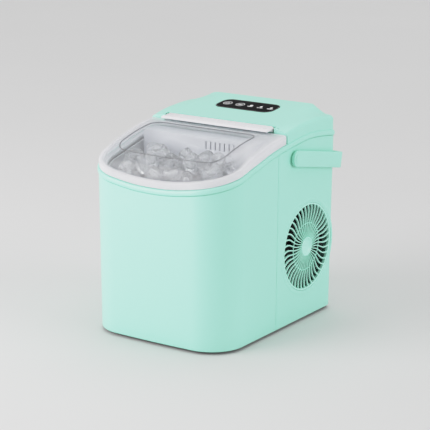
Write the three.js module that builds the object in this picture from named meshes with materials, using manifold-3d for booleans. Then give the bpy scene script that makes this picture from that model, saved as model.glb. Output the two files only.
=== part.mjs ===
// Countertop bullet-ice maker: plastic shells, clear lid, ice basket, water tank,
// evaporator with tilting water tray, compressor, condenser and side fan.
// Millimetres, +Z up, front of the machine faces -Y, +X is its right side seen from the front.
import * as THREE from 'three';
import { mergeVertices } from 'three/addons/utils/BufferGeometryUtils.js';
import Module from 'manifold-3d';

const wasm = await Module();
wasm.setup();

// ---------------------------------------------------------------- driving dimensions
const W = 222, D = 284.2;            // body width and depth at the bottom edge
const BOW = 1.2;                     // crown of the front face
const R_FRONT = 49.5, R_BACK = 14;   // vertical corner radii in plan
const Z_BOTTOM = 4;                  // bottom edge of the housings above the table
const DRAFT = 1.86 / 250;            // the walls lean out by this much per mm of height
const WALL = 2.5;                    // housing wall
const GAP = 0.3;                     // clearance between touching pieces
const SEAM_Y = -9.7;                 // seam between front and rear housing
const SHIFT_Y = -4.9;                // puts the origin under the middle of the whole object
const BEAD_H = 7.8, BEAD_OUT = 1.7;  // rounded lip of the top cover
const LID_GAP = 0.7;                 // lid edge above the lip
const LID_REAR = 12;                 // rear edge of the clear lid
const HINGE_Y = 17.2, HINGE_Z = 277.6;
const DECK_Y0 = 13, DECK_SLOPE = 0.1185, DECK_Z = 281.3, DECK_ZY = 19.5;
const PANEL_Y = 87, PANEL_A = 48.5, PANEL_B = 17.5, PANEL_R = 15;
const FAN_Y = 69.4, FAN_Z = 105.9, GRILLE_R = 61.9;
const HANDLE_Y = 31, HANDLE_Z = 238.4, HANDLE_DROOP = 11, HANDLE_L = 124.6;
const HANDLE_H = 22.4, HANDLE_X = 119.3, HANDLE_T = 4.8;
const BASKET_Z = 205;                // rim of the ice basket
const TRAY_Y = -4, TRAY_Z = 214;     // pivot of the water tray
const SHOVEL_Y = -29.4, SHOVEL_Z = 222;
const FINGER_PITCH = 17.5;           // nine freezing fingers in one row

// ---------------------------------------------------------------- helpers
const rad = THREE.MathUtils.degToRad;
const mix = (a, b, t) => a + (b - a) * t;

function signedVolume(pos, idx) {
  let v = 0;
  for (let i = 0; i < idx.length; i += 3) {
    const a = idx[i] * 3, b = idx[i + 1] * 3, c = idx[i + 2] * 3;
    v += pos[a] * (pos[b + 1] * pos[c + 2] - pos[b + 2] * pos[c + 1])
       - pos[a + 1] * (pos[b] * pos[c + 2] - pos[b + 2] * pos[c])
       + pos[a + 2] * (pos[b] * pos[c + 1] - pos[b + 1] * pos[c]);
  }
  return v / 6;
}
function S(geometry) {               // three.js geometry to solid
  const g = geometry.clone();
  for (const k of Object.keys(g.attributes)) if (k !== 'position') g.deleteAttribute(k);
  const m = mergeVertices(g, 1e-4);
  const pos = Float32Array.from(m.attributes.position.array);
  const idx = Uint32Array.from(m.index.array);
  if (signedVolume(pos, idx) < 0) for (let i = 0; i < idx.length; i += 3) { const t = idx[i]; idx[i] = idx[i + 1]; idx[i + 1] = t; }
  return new wasm.Manifold(new wasm.Mesh({ numProp: 3, vertProperties: pos, triVerts: idx }));
}
function G(solid) {                  // solid back to three.js geometry
  const me = solid.getMesh();
  const g = new THREE.BufferGeometry();
  g.setAttribute('position', new THREE.BufferAttribute(Float32Array.from(me.vertProperties), 3));
  g.setIndex(Array.from(me.triVerts));
  return g;
}
const union = (...a) => a.reduce((p, q) => p.add(q));
const cut = (a, ...b) => b.reduce((p, q) => p.subtract(q), a);
const boxG = (x0, x1, y0, y1, z0, z1) => new THREE.BoxGeometry(x1 - x0, y1 - y0, z1 - z0).translate((x0 + x1) / 2, (y0 + y1) / 2, (z0 + z1) / 2);
const box = (...a) => S(boxG(...a));
// cylinder between two coordinates on an axis, the other two coordinates given in XYZ order
function cylG(axis, a, b, u, v, r, seg = 20, r2 = r) {
  const g = new THREE.CylinderGeometry(r2, r, b - a, seg);
  const m = (a + b) / 2;
  if (axis === 'x') return g.rotateZ(-Math.PI / 2).translate(m, u, v);
  if (axis === 'y') return g.translate(u, m, v);
  return g.rotateX(Math.PI / 2).translate(u, v, m);
}
const cyl = (...a) => S(cylG(...a));
// profile in (y, z) drawn along x
function prismX(points, x0, x1) {
  const sh = new THREE.Shape(points.map(p => new THREE.Vector2(p[0], p[1])));
  const g = new THREE.ExtrudeGeometry(sh, { depth: x1 - x0, bevelEnabled: false });
  const m = new THREE.Matrix4().makeBasis(new THREE.Vector3(0, 1, 0), new THREE.Vector3(0, 0, 1), new THREE.Vector3(1, 0, 0));
  return g.applyMatrix4(m).translate(x0, 0, 0);
}
function tubeG(points, r, sides = 8, steps = 30) {
  const c = new THREE.CatmullRomCurve3(points.map(p => new THREE.Vector3(...p)), false, 'centripetal');
  const sh = new THREE.Shape();
  for (let i = 0; i < sides; i++) {
    const t = 2 * Math.PI * i / sides;
    i ? sh.lineTo(r * Math.cos(t), r * Math.sin(t)) : sh.moveTo(r, 0);
  }
  return new THREE.ExtrudeGeometry(sh, { steps, extrudePath: c, bevelEnabled: false });
}
// skin over a list of equal-length rings; both ends capped, or joined end to end when looped
function loftG(rings, looped = false) {
  const n = rings[0].length, pos = [], idx = [];
  for (const r of rings) for (const p of r) pos.push(...p);
  const k = rings.length;
  for (let i = 0; i < (looped ? k : k - 1); i++) {
    const a = i * n, b = ((i + 1) % k) * n;
    for (let j = 0; j < n; j++) {
      const j2 = (j + 1) % n;
      idx.push(a + j, a + j2, b + j2, a + j, b + j2, b + j);
    }
  }
  if (!looped) for (const [o, flip] of [[0, true], [(k - 1) * n, false]]) {
    const c = [0, 0, 0];
    for (let j = 0; j < n; j++) for (let q = 0; q < 3; q++) c[q] += pos[(o + j) * 3 + q] / n;
    const ci = pos.length / 3;
    pos.push(...c);
    for (let j = 0; j < n; j++) {
      const j2 = (j + 1) % n;
      flip ? idx.push(ci, o + j2, o + j) : idx.push(ci, o + j, o + j2);
    }
  }
  const g = new THREE.BufferGeometry();
  g.setAttribute('position', new THREE.Float32BufferAttribute(pos, 3));
  g.setIndex(idx);
  return g;
}
const loft = (...a) => S(loftG(...a));
function table(rows) {               // smooth interpolation through (x, y) rows
  return x => {
    if (x <= rows[0][0]) return rows[0][1];
    const e = rows.length - 1;
    if (x >= rows[e][0]) return rows[e][1];
    let i = 0;
    while (x > rows[i + 1][0]) i++;
    const h = rows[i + 1][0] - rows[i][0], t = (x - rows[i][0]) / h;
    const d = j => j <= 0 || j >= e ? 0 : (rows[j + 1][1] - rows[j - 1][1]) / (rows[j + 1][0] - rows[j - 1][0]);
    const t2 = t * t, t3 = t2 * t;
    return (2 * t3 - 3 * t2 + 1) * rows[i][1] + (t3 - 2 * t2 + t) * h * d(i) + (3 * t2 - 2 * t3) * rows[i + 1][1] + (t3 - t2) * h * d(i + 1);
  };
}
const grow = z => DRAFT * (z - Z_BOTTOM);
const G_TOP = 1.8;                   // draft growth near the lip

// plan outline of the body, anticlockwise from the middle of the front.
// front, side and back insets, growth, rear corner radius; end: 'back' or a straight rear edge at y
const S_CORNER = W / 2 - R_FRONT, S_SIDE = S_CORNER + R_FRONT * Math.PI / 2;
const Y_SIDE0 = -D / 2 + R_FRONT;
const sideS = y => S_SIDE + (y - Y_SIDE0);
function plan(f, d, b, g, rb = R_BACK, rearY = null, n = [3, 7, 6, 3, 3]) {
  const hw = W / 2 + g - d, yf = -D / 2 - g + f;
  const yb = rearY === null ? D / 2 + g - b : rearY;
  const rf = Math.max(2, R_FRONT + g - (f + d) / 2);
  const rr = Math.max(0.6, rb);
  const half = [];
  const cx = hw - rf, cy = yf + rf + BOW;
  for (let i = 0; i < n[0]; i++) { const t = i / n[0]; half.push([cx * t, yf + BOW * t * t, S_CORNER * t]); }
  for (let i = 0; i < n[1]; i++) { const t = i / n[1], a = -Math.PI / 2 + t * Math.PI / 2; half.push([cx + rf * Math.cos(a), cy + rf * Math.sin(a), mix(S_CORNER, S_SIDE, t)]); }
  const ye = yb - rr;
  for (let i = 0; i < n[2]; i++) { const y = mix(cy, ye, i / n[2]); half.push([hw, y, sideS(y)]); }
  for (let i = 0; i < n[3]; i++) { const t = i / n[3], a = t * Math.PI / 2; const y = ye + rr * Math.sin(a); half.push([hw - rr + rr * Math.cos(a), y, sideS(ye) + rr * a]); }
  const sb = sideS(ye) + rr * Math.PI / 2;
  for (let i = 0; i <= n[4]; i++) half.push([mix(hw - rr, 0, i / n[4]), yb, sb + (hw - rr) * i / n[4]]);
  const left = half.slice(1, -1).reverse().map(p => [-p[0], p[1], p[2]]);
  return half.concat(left);
}
const ring = (pl, zf) => pl.map(p => [p[0], p[1], typeof zf === 'number' ? zf : zf(p[2], p[0], p[1])]);

// lower edge of the lip along the perimeter, measured from the middle of the front
const zLip = table([[0, 208.5], [30, 209.6], [61.5, 213.6], [100, 220.5], [139.3, 230], [155, 234], [179, 240], [203, 246], [228, 250.6], [253, 254], [279, 257], [305, 258.6], [332, 257], [359, 253.5], [377, 251], [400, 250]]);
// crest of the top cover's side walls, by y
const zCrest = table([[10.5, 276], [26, 279], [46, 282], [72, 284], [88, 284.6], [104, 284.4], [120, 282.6], [142, 280]]);
const zDeck = y => DECK_Z + DECK_SLOPE * (y - DECK_ZY);
const zLid = s => zLip(s) + BEAD_H + LID_GAP;
const lidRim = table([[0, 10], [61.5, 10], [139.3, 10], [160, 12.8], [245, 12.2], [260, 11.5]]);
const zWin = y => 268.8 + 0.2 * (y + 60) - 6.6 * ((y + 60) / 60) ** 2;

// ---------------------------------------------------------------- colours
const MINT = 0xa9e2d3, WHITE = 0xf1f3f3, CLEAR = 0xe9f0f2, BLACK = 0x14161a, GREY = 0x9aa0a3, DARK = 0x33373a;
const mat = (color, roughness = 0.45, metalness = 0, opacity = 1) => new THREE.MeshStandardMaterial({ color, roughness, metalness, transparent: opacity < 1, opacity });
const root = new THREE.Group();
root.position.set(0, SHIFT_Y, 0);
function put(name, geometry, material, parent = root) {
  const g = geometry instanceof THREE.BufferGeometry ? geometry : G(geometry);
  if (!g.attributes.normal) g.computeVertexNormals();
  const m = new THREE.Mesh(g, material);
  m.name = name;
  parent.add(m);
  return m;
}

// ---------------------------------------------------------------- housings
{
  const a = ring(plan(1.5, 1.5, 1.5, 0), Z_BOTTOM);
  const b = ring(plan(0, 0, 0, 0), Z_BOTTOM + 1.8);
  const c = ring(plan(0, 0, 0, G_TOP), s => zLip(s) - GAP);
  const d = ring(plan(WALL, WALL, WALL, G_TOP, R_BACK - WALL), s => zLip(s) - GAP);
  const e = ring(plan(WALL, WALL, WALL, 0, R_BACK - WALL), Z_BOTTOM);
  const shell = loft([a, b, c, d, e], true);
  const front = cut(shell.intersect(box(-200, 200, -300, SEAM_Y - 0.15, -5, 400)),
    cyl('x', -120, -100, -60, 52, 9.6, 24));
  let rear = shell.intersect(box(-200, 200, SEAM_Y + 0.15, 300, -5, 400));
  rear = cut(rear, cyl('x', 100, 125, FAN_Y, FAN_Z, GRILLE_R + GAP, 48),
    cyl('x', 100, 125, HANDLE_Y, HANDLE_Z, 4.3, 16), cyl('x', -125, -100, HANDLE_Y, HANDLE_Z, 4.3, 16),
    cyl('y', 130, 150, -72, 34, 8.4, 20));
  for (let i = 0; i < 9; i++) {
    const z = 66 + i * 10, h = 34 * Math.sqrt(1 - ((i - 4) / 5.2) ** 2);
    rear = rear.subtract(box(-125, -100, FAN_Y - h, FAN_Y + h, z - 1.7, z + 1.7));
  }
  put('front_housing', front, mat(MINT, 0.42));
  put('rear_housing', rear, mat(MINT, 0.42));
}

// ---------------------------------------------------------------- top cover with lip, lid seat and deck
const panelGroup = new THREE.Group();
panelGroup.position.set(0, PANEL_Y, zDeck(PANEL_Y));
panelGroup.rotation.x = Math.atan(DECK_SLOPE);
panelGroup.updateMatrix();
const BUTTON_X = [-33.5, -12.5], LENS_X = [5, 21.5, 38];
function roundRect(a, b, r, seg = 5) {
  const p = [];
  for (const [sx, sy, t0] of [[1, -1, -90], [1, 1, 0], [-1, 1, 90], [-1, -1, 180]])
    for (let k = 0; k <= seg; k++) { const t = rad(t0 + 90 * k / seg); p.push(new THREE.Vector2(sx * (a - r) + r * Math.cos(t), sy * (b - r) + r * Math.sin(t))); }
  return p;
}
function circlePath(x, y, r, seg = 16) {
  const p = [];
  for (let k = 0; k < seg; k++) { const t = 2 * Math.PI * k / seg; p.push(new THREE.Vector2(x + r * Math.cos(t), y + r * Math.sin(t))); }
  return p;
}
{
  // lip: a bead around the whole plan, with a locating skirt inside the housings
  const prof = [[0.3, 0], [-1.5, 1.8], [-BEAD_OUT, 4], [-1.4, 6.4], [0.4, BEAD_H], [10.5, BEAD_H], [10.5, BEAD_H - 2.5], [5.6, BEAD_H - 2.5], [5.6, -5.5], [3.1, -5.5], [3.1, 0]];
  const lip = loft(prof.map(([i, dz]) => ring(plan(i, i, i, G_TOP, Math.max(2, R_BACK - i)), s => zLip(s) + dz)), true);
  const bridge = box(-104, 104, -3, 26, 257.6, 260.4);
  // deck shell
  const rows = [[0.6, 0.6, 13.5, 'w', 7], [0.6, 0.6, 13.5, 'c', -4], [3.2, 2.8, 13, 'c', -0.4], [10, 6, 14, 'c', 1.2], [28, 13.5, 8, 'd', 0]];
  const deckRing = (inner, k) => {
    const [d, b, rb, kind, dz] = rows[k];
    const t = inner ? WALL : 0;
    const hw = W / 2 + G_TOP - d - t, yb = D / 2 + G_TOP - b - t, r = Math.max(2, rb - t), y0 = DECK_Y0 + t;
    const half = [[0, y0], [hw * 0.5, y0], [hw, y0]];
    for (let i = 1; i <= 5; i++) half.push([hw, mix(y0, yb - r, i / 5)]);
    for (let i = 1; i < 4; i++) { const a = i / 4 * Math.PI / 2; half.push([hw - r + r * Math.cos(a), yb - r + r * Math.sin(a)]); }
    for (let i = 0; i <= 3; i++) half.push([mix(hw - r, 0, i / 3), yb]);
    const pl = half.concat(half.slice(1, -1).reverse().map(p => [-p[0], p[1]]));
    return pl.map(([x, y]) => {
      let z;
      if (kind === 'w') z = zLip(sideS(Math.min(y, 128)) + Math.max(0, y - 128)) + dz;
      else if (kind === 'c') z = Math.min(zCrest(y) + dz, zDeck(Math.min(y, 131)) - 0.4 + dz * 0.2) - (inner ? WALL : 0);
      else z = zDeck(Math.min(y, 130)) + dz - (inner ? WALL : 0);
      return [x, y, z];
    });
  };
  const out = [0, 1, 2, 3, 4].map(k => deckRing(false, k));
  const inn = [4, 3, 2, 1, 0].map(k => deckRing(true, k));
  const deckSolid = loft(out);
  const deck = loft([...inn, ...out]);
  const ears = deckSolid.intersect(union(box(84, 107.5, 10, 25, 256, 300), box(-107.5, -84, 10, 25, 256, 300), box(-92, 92, 19, 24, 256, 300)));
  let top = union(lip, bridge, deck, ears);
  const notch = S(loftG([[[-91.5, 5, 262], [91.5, 5, 262], [91.5, 21.3, 262], [-91.5, 21.3, 262]], [[-88.6, 5, 300], [88.6, 5, 300], [88.6, 21.3, 300], [-88.6, 21.3, 300]]]));
  const M = panelGroup.matrix;
  const recess = S(new THREE.ExtrudeGeometry(new THREE.Shape(roundRect(PANEL_A + 0.35, PANEL_B + 0.35, PANEL_R + 0.35)), { depth: 5, bevelEnabled: false }).translate(0, 0, -0.9).applyMatrix4(M));
  const holes = BUTTON_X.map(x => S(cylG('z', -8, 5, x, 0, 7.4, 20).applyMatrix4(M)));
  top = cut(top, notch, cyl('x', 86, 95.5, HINGE_Y, HINGE_Z, 2.05, 12), cyl('x', -95.5, -86, HINGE_Y, HINGE_Z, 2.05, 12), recess, ...holes);
  put('top_cover', top, mat(MINT, 0.42));
}

// ---------------------------------------------------------------- control panel
{
  const sh = new THREE.Shape(roundRect(PANEL_A, PANEL_B, PANEL_R));
  for (const x of BUTTON_X) sh.holes.push(new THREE.Path(circlePath(x, 0, 7.3, 20)));
  for (const x of LENS_X) sh.holes.push(new THREE.Path(circlePath(x, 0, 4.3, 12)));
  put('control_panel', new THREE.ExtrudeGeometry(sh, { depth: 0.85, bevelEnabled: false }).translate(0, 0, -0.6), mat(BLACK, 0.2), panelGroup);
  const button = x => new THREE.LatheGeometry([[0, -6.2], [3.4, -6.2], [3.4, -2.6], [7, -2.6], [7, 0.1], [6.6, 0.45], [0, 0.45]].map(p => new THREE.Vector2(p[0], p[1])), 14).rotateX(Math.PI / 2).translate(x, 0, 0);
  put('power_button', button(BUTTON_X[0]), mat(BLACK, 0.25), panelGroup);
  put('select_button', button(BUTTON_X[1]), mat(BLACK, 0.25), panelGroup);
  ['left', 'middle', 'right'].forEach((n, i) => put('indicator_lens_' + n, cylG('z', -0.6, 0.3, LENS_X[i], 0, 4, 12), mat(WHITE, 0.3), panelGroup));
  put('control_board', boxG(-44, 44, -15, 15, -8.6, -6.95), mat(0x2f7a4f, 0.5), panelGroup);
}
root.add(panelGroup);

// ---------------------------------------------------------------- clear lid, hinge strip and pins
{
  const rows = [[0.2, 0.2, 0, 'e', 0], [0.4, 0.4, 0, 'r', -2], [3.4, 3.4, 2, 'r', 0], [7.5, 7.5, 5, 'r', 0.3], [11.5, 13, 10, 'm', 0.68], [18.5, 24, 22, 'm', 1]];
  const lidRing = (inner, k, scale = 1) => {
    const [f, d, r, kind, v] = rows[k];
    const t = inner ? 2.2 : 0;
    const pl = plan(f + t, d + t, 0, G_TOP, Math.max(1.2, 4 + k * 1.4 - t), LID_REAR - r - t, [3, 6, 5, 2, 3]);
    return pl.map(([x, y, s]) => {
      const ss = sideS(LID_REAR) < s ? sideS(LID_REAR) : s;
      const top = zLid(ss) + lidRim(ss), px = x * scale, py = -57 + (y + 57) * scale;
      let z;
      if (kind === 'e') z = zLid(ss);
      else if (kind === 'r') z = top + v;
      else z = mix(top + 0.3, zWin(py), v);
      return [px, py, kind === 'e' ? z : z - t];
    });
  };
  const out = [0, 1, 2, 3, 4, 5].map(k => lidRing(false, k));
  const inn = [5, 4, 3, 2, 1, 0].map(k => lidRing(true, k));
  put('lid', loft([lidRing(true, 5, 0.55), ...inn, ...out, lidRing(false, 5, 0.55)]), mat(CLEAR, 0.1, 0, 0.4));
  const prof = [[0.4, 275.9], [12.4, 276.4], [12.7, 274.6], [15, 273.7], [18.4, 273.9], [20, 275.8], [20.3, 277.8], [19.7, 279.7], [18.2, 281.2], [1.6, 279.4], [0.4, 278.3]];
  const strip = S(prismX(prof, -87.6, 87.6));
  put('lid_hinge_strip', cut(strip, cyl('x', 79, 90, HINGE_Y, HINGE_Z, 2.0, 12), cyl('x', -90, -79, HINGE_Y, HINGE_Z, 2.0, 12)), mat(WHITE, 0.35));
  put('hinge_pin_right', cylG('x', 79.4, 95, HINGE_Y, HINGE_Z, 1.65, 12), mat(0xc9ccce, 0.25, 0.9));
  put('hinge_pin_left', cylG('x', -95, -79.4, HINGE_Y, HINGE_Z, 1.65, 12), mat(0xc9ccce, 0.25, 0.9));
}

// ---------------------------------------------------------------- carry handle and its pivots
{
  const g = new THREE.Group();
  g.position.set(0, HANDLE_Y, HANDLE_Z);
  g.rotation.x = -rad(HANDLE_DROOP);
  const u = (hw, L, r, front) => {
    const p = [[-hw, front], [-hw, L - r]];
    for (let k = 1; k <= 4; k++) { const t = Math.PI - k / 4 * Math.PI / 2; p.push([-hw + r + r * Math.cos(t), L - r + r * Math.sin(t)]); }
    for (let k = 0; k <= 4; k++) { const t = Math.PI / 2 - k / 4 * Math.PI / 2; p.push([hw - r + r * Math.cos(t), L - r + r * Math.sin(t)]); }
    p.push([hw, front]);
    return p;
  };
  const f = -HANDLE_H / 2 - 1;
  const outer = u(HANDLE_X, HANDLE_L, 9, f), inner = u(HANDLE_X - HANDLE_T, HANDLE_L - HANDLE_T, 4.6, f).reverse();
  const sh = new THREE.Shape([...outer, ...inner].map(p => new THREE.Vector2(...p)));
  const blank = S(new THREE.ExtrudeGeometry(sh, { depth: HANDLE_H, bevelEnabled: false }).translate(0, 0, -HANDLE_H / 2));
  const side = [[HANDLE_L + 5, -HANDLE_H / 2], [HANDLE_L + 5, HANDLE_H / 2]];
  for (let k = 0; k <= 10; k++) { const t = Math.PI / 2 + k / 10 * Math.PI; side.push([HANDLE_H / 2 * Math.cos(t), HANDLE_H / 2 * Math.sin(t)]); }
  const form = S(prismX(side, -150, 150));
  put('carry_handle', cut(blank.intersect(form), cyl('x', -150, 150, 0, 0, 4.3, 16)), mat(MINT, 0.42), g);
  root.add(g);
  const pin = [[0, 105.6], [7.2, 105.6], [7.2, 109.9], [4, 109.9], [4, 113.1], [6.6, 113.1], [6.6, 114.2], [4, 114.2], [4, 119.6], [7.4, 119.6], [7.4, 120.3], [6, 121], [0, 121]];
  for (const sgn of [1, -1]) {
    const lg = new THREE.LatheGeometry(pin.map(p => new THREE.Vector2(p[0], p[1])), 12).rotateZ(-Math.PI / 2);
    if (sgn < 0) lg.rotateY(Math.PI);
    put(sgn > 0 ? 'handle_pivot_right' : 'handle_pivot_left', lg.translate(0, HANDLE_Y, HANDLE_Z), mat(MINT, 0.42));
  }
}

// ---------------------------------------------------------------- base pan, feet, screws
const FEET = [['front_left', -84, -94], ['front_right', 84, -94], ['rear_left', -88, 118], ['rear_right', 88, 118]];
const SCREWS = [['front_left', -60, -120], ['front_right', 60, -120], ['rear_left', -60, 126], ['rear_right', 60, 126]];
{
  const i = WALL + 0.4;
  const pp = (k, z) => ring(plan(k, k, k, 0, R_BACK - k, null, [2, 5, 3, 2, 2]), z);
  const pan = loft([pp(i, 5), pp(i, 14), pp(i + 2, 14), pp(i + 2, 7.4)]);
  put('base_pan', cut(pan, ...SCREWS.map(([, x, y]) => cyl('z', 0, 20, x, y, 2.4, 12))), mat(DARK, 0.6));
  for (const [n, x, y] of FEET)
    put('foot_' + n, new THREE.LatheGeometry([[0, 0], [8.4, 0], [10, 1.4], [10.6, 4.7], [0, 4.7]].map(p => new THREE.Vector2(p[0], p[1])), 14).rotateX(Math.PI / 2).translate(x, y, 0), mat(0x222426, 0.8));
  for (const [n, x, y] of SCREWS)
    put('base_screw_' + n, new THREE.LatheGeometry([[0, 2.6], [3.2, 2.8], [3.9, 3.6], [3.9, 4.7], [2, 4.7], [2, 13], [0, 14.6]].map(p => new THREE.Vector2(p[0], p[1])), 8).rotateX(Math.PI / 2).translate(x, y, 0), mat(0xb7babc, 0.35, 0.9));
}

// ---------------------------------------------------------------- fan grille in the right wall
{
  const sh = new THREE.Shape(circlePath(0, 0, GRILLE_R, 40));
  const slot = (r0, r1, w0, w1, t0, twist) => {
    const P = (r, t, o) => new THREE.Vector2(r * Math.cos(t) - o * Math.sin(t), r * Math.sin(t) + o * Math.cos(t));
    return [P(r0, t0, -w0 / 2), P(r1, t0 + twist, -w1 / 2), P(r1, t0 + twist, w1 / 2), P(r0, t0, w0 / 2)];
  };
  for (let k = 0; k < 26; k++) {
    const t = 2 * Math.PI * k / 26;
    sh.holes.push(new THREE.Path(slot(34.5, 55.5, 4.6, 8.4, t, 0.22)));
    if (k % 2 === 0) sh.holes.push(new THREE.Path(slot(16.5, 30.5, 3.6, 8.2, t + 0.2, -0.3)));
  }
  const g = new THREE.ExtrudeGeometry(sh, { depth: 3.2, bevelEnabled: false });
  g.applyMatrix4(new THREE.Matrix4().makeBasis(new THREE.Vector3(0, 1, 0), new THREE.Vector3(0, 0, 1), new THREE.Vector3(1, 0, 0)));
  put('fan_grille', g.translate(108.9, FAN_Y, FAN_Z), mat(MINT, 0.42));
}

// ---------------------------------------------------------------- water tank, insulation, drain
{
  const tp = (i, g = 0, r = 10) => plan(i, i, 0, g, r, 10 - (i - 10), [3, 5, 4, 2, 2]);
  const zt = (s, x, y) => zLip(Math.min(s, sideS(10))) + 2;
  let tank = loft([ring(tp(14), 40), ring(tp(12), 44), ring(tp(10, 0.6), zt), ring(tp(12.5, 0.6, 8), zt), ring(tp(14.5, 0, 8), 44.5), ring(tp(16.5, 0, 7), 42.5)]);
  const blocks = [];
  for (const sg of [1, -1]) for (const y of [-105, -60]) {
    const x0 = sg > 0 ? 90.8 : -98.8, x1 = sg > 0 ? 98.8 : -90.8;
    blocks.push(box(x0, x1, y, y + 10, 194, BASKET_Z - 2.6));
  }
  blocks.push(box(85.6, 88.2, -8, 8.5, 208, 217.5));
  blocks.push(cyl('x', -107.6, -95, -60, 52, 8.6, 20));
  tank = cut(union(tank, ...blocks), cyl('x', -120, -90, -60, 52, 6, 20), cyl('y', 2, 20, -50, 241, 4.2, 16));
  put('water_tank', tank, mat(WHITE, 0.35));
  const fp = (i, y) => plan(i, i, 0, 0, 8, y, [3, 5, 4, 2, 2]);
  const foam = loft([ring(fp(3.4, 13.4), 44), ring(fp(3.4, 13.4), 196), ring(fp(9.2, 11), 196), ring(fp(9.2, 11), 44)], true);
  put('tank_insulation', cut(foam, cyl('x', -120, -90, -60, 52, 9.4, 20)), mat(0xe8e6df, 0.9));
  put('drain_plug', new THREE.LatheGeometry([[0, 104], [5.2, 104], [5.6, 105.2], [5.6, 108.6], [9.1, 108.6], [9.1, 112.6], [7.6, 113.6], [0, 113.6]].map(p => new THREE.Vector2(p[0], p[1])), 20).rotateZ(Math.PI / 2).translate(0, -60, 52), mat(0xd9dcdc, 0.6));
}

// ---------------------------------------------------------------- ice basket
{
  const rr = (hx, yf, yr, rf, rb, z) => {
    const p = [];
    for (const [sx, y, r, sy, t0] of [[1, yf, rf, 1, -90], [1, yr, rb, -1, 0], [-1, yr, rb, -1, 90], [-1, yf, rf, 1, 180]])
      for (let k = 0; k <= 4; k++) { const t = rad(t0 + 22.5 * k); p.push([sx * (hx - r) + r * Math.cos(t), y + sy * r + r * Math.sin(t), z]); }
    return p;
  };
  const Z = BASKET_Z;
  let b = loft([rr(82, -119, -48, 26, 8, 125), rr(84, -121, -46, 28, 9, 128), rr(88.5, -124, -42, 30, 10, Z - 2.2), rr(94, -127.2, -37.5, 34, 11, Z - 2.2), rr(94, -127.2, -37.5, 34, 11, Z), rr(86.6, -122, -44, 28, 8, Z), rr(82, -119, -48, 26, 7, 129), rr(80, -117, -50, 24, 7, 127.2)]);
  const slots = [];
  for (let i = -3; i <= 3; i++) for (const y of [-104, -74]) slots.push(box(i * 20 - 1.7, i * 20 + 1.7, y - 10, y + 10, 120, 132));
  put('ice_basket', cut(b, ...slots), mat(0xdfe5e8, 0.4));
}

// ---------------------------------------------------------------- evaporator, its hood, water tray, shovel, tray motor
{
  let ev = box(-77, 77, -26, -9.5, 236, 246);
  for (let k = 0; k < 9; k++) ev = ev.add(cyl('z', 204.5, 238, FINGER_PITCH * (k - 4), -17.5, 4.3, 12));
  put('evaporator', ev, mat(0xc4c6c4, 0.25, 0.9));
  let hood = cut(box(-93, 93, -33, -4, 226, 266), box(-90.8, 90.8, -30.8, 0, 220, 263.8));
  for (let k = -7; k <= 7; k++) hood = hood.subtract(box(k * 10 - 1.7, k * 10 + 1.7, -35, -29, 249, 261));
  put('evaporator_hood', hood, mat(WHITE, 0.35));
  let tray = cut(box(-82, 82, -27.5, -8.5, 195, TRAY_Z), box(-79, 79, -25.5, -10.5, 197.2, TRAY_Z + 5));
  for (const sg of [1, -1]) {
    const x0 = sg > 0 ? 79.2 : -82, x1 = sg > 0 ? 82 : -79.2;
    tray = union(tray, box(x0, x1, -12, TRAY_Y + 3.4, TRAY_Z - 5, TRAY_Z + 3.4), sg > 0 ? cyl('x', 80.5, 85.2, TRAY_Y, TRAY_Z, 2, 12) : cyl('x', -86, -80.5, TRAY_Y, TRAY_Z, 2, 12));
  }
  put('water_tray', tray, mat(WHITE, 0.35));
  // pusher blade with slots, hung on a rod
  let sv = union(box(-78, 78, SHOVEL_Y - 0.9, SHOVEL_Y + 0.9, 207.6, 222), cyl('x', -80, 80, SHOVEL_Y, SHOVEL_Z, 1.6, 10));
  for (let k = 0; k < 9; k++) sv = sv.subtract(box(FINGER_PITCH * (k - 4) - 2, FINGER_PITCH * (k - 4) + 2, SHOVEL_Y - 3, SHOVEL_Y + 3, 200, 216));
  put('ice_shovel', sv, mat(WHITE, 0.35));
  put('tray_gear_motor', union(cyl('x', -96.4, -86.4, TRAY_Y - 2, TRAY_Z, 9, 20), box(-95.8, -87.4, -12, 1, 194, 212)), mat(GREY, 0.5, 0.3));
}

// ---------------------------------------------------------------- pump, tube, sensors
put('water_pump', union(box(40, 66, -24, 2, 43, 66), cyl('z', 65, 72, 53, -10, 8, 16), cyl('z', 71, 77, 53, -10, 3.4, 12)), mat(DARK, 0.5));
put('water_tube', tubeG([[53, -10, 77.4], [53, -10, 86], [72, -5, 98], [91, 0, 112], [93, 1, 130], [93, 1, 175], [93, 1, 214], [91.4, 2, 220], [88, 2, 225.5], [85, -3, 230], [82, -10, 231.5], [80, -16, 230.5]], 2.7, 6, 26), mat(0xdfe6e6, 0.3));
put('ice_sensor_right', boxG(95.2, 98.2, -70, -60, 212, 224), mat(0x2b2b30, 0.3));
put('ice_sensor_left', boxG(-98.2, -95.2, -70, -60, 212, 224), mat(0x2b2b30, 0.3));

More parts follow.
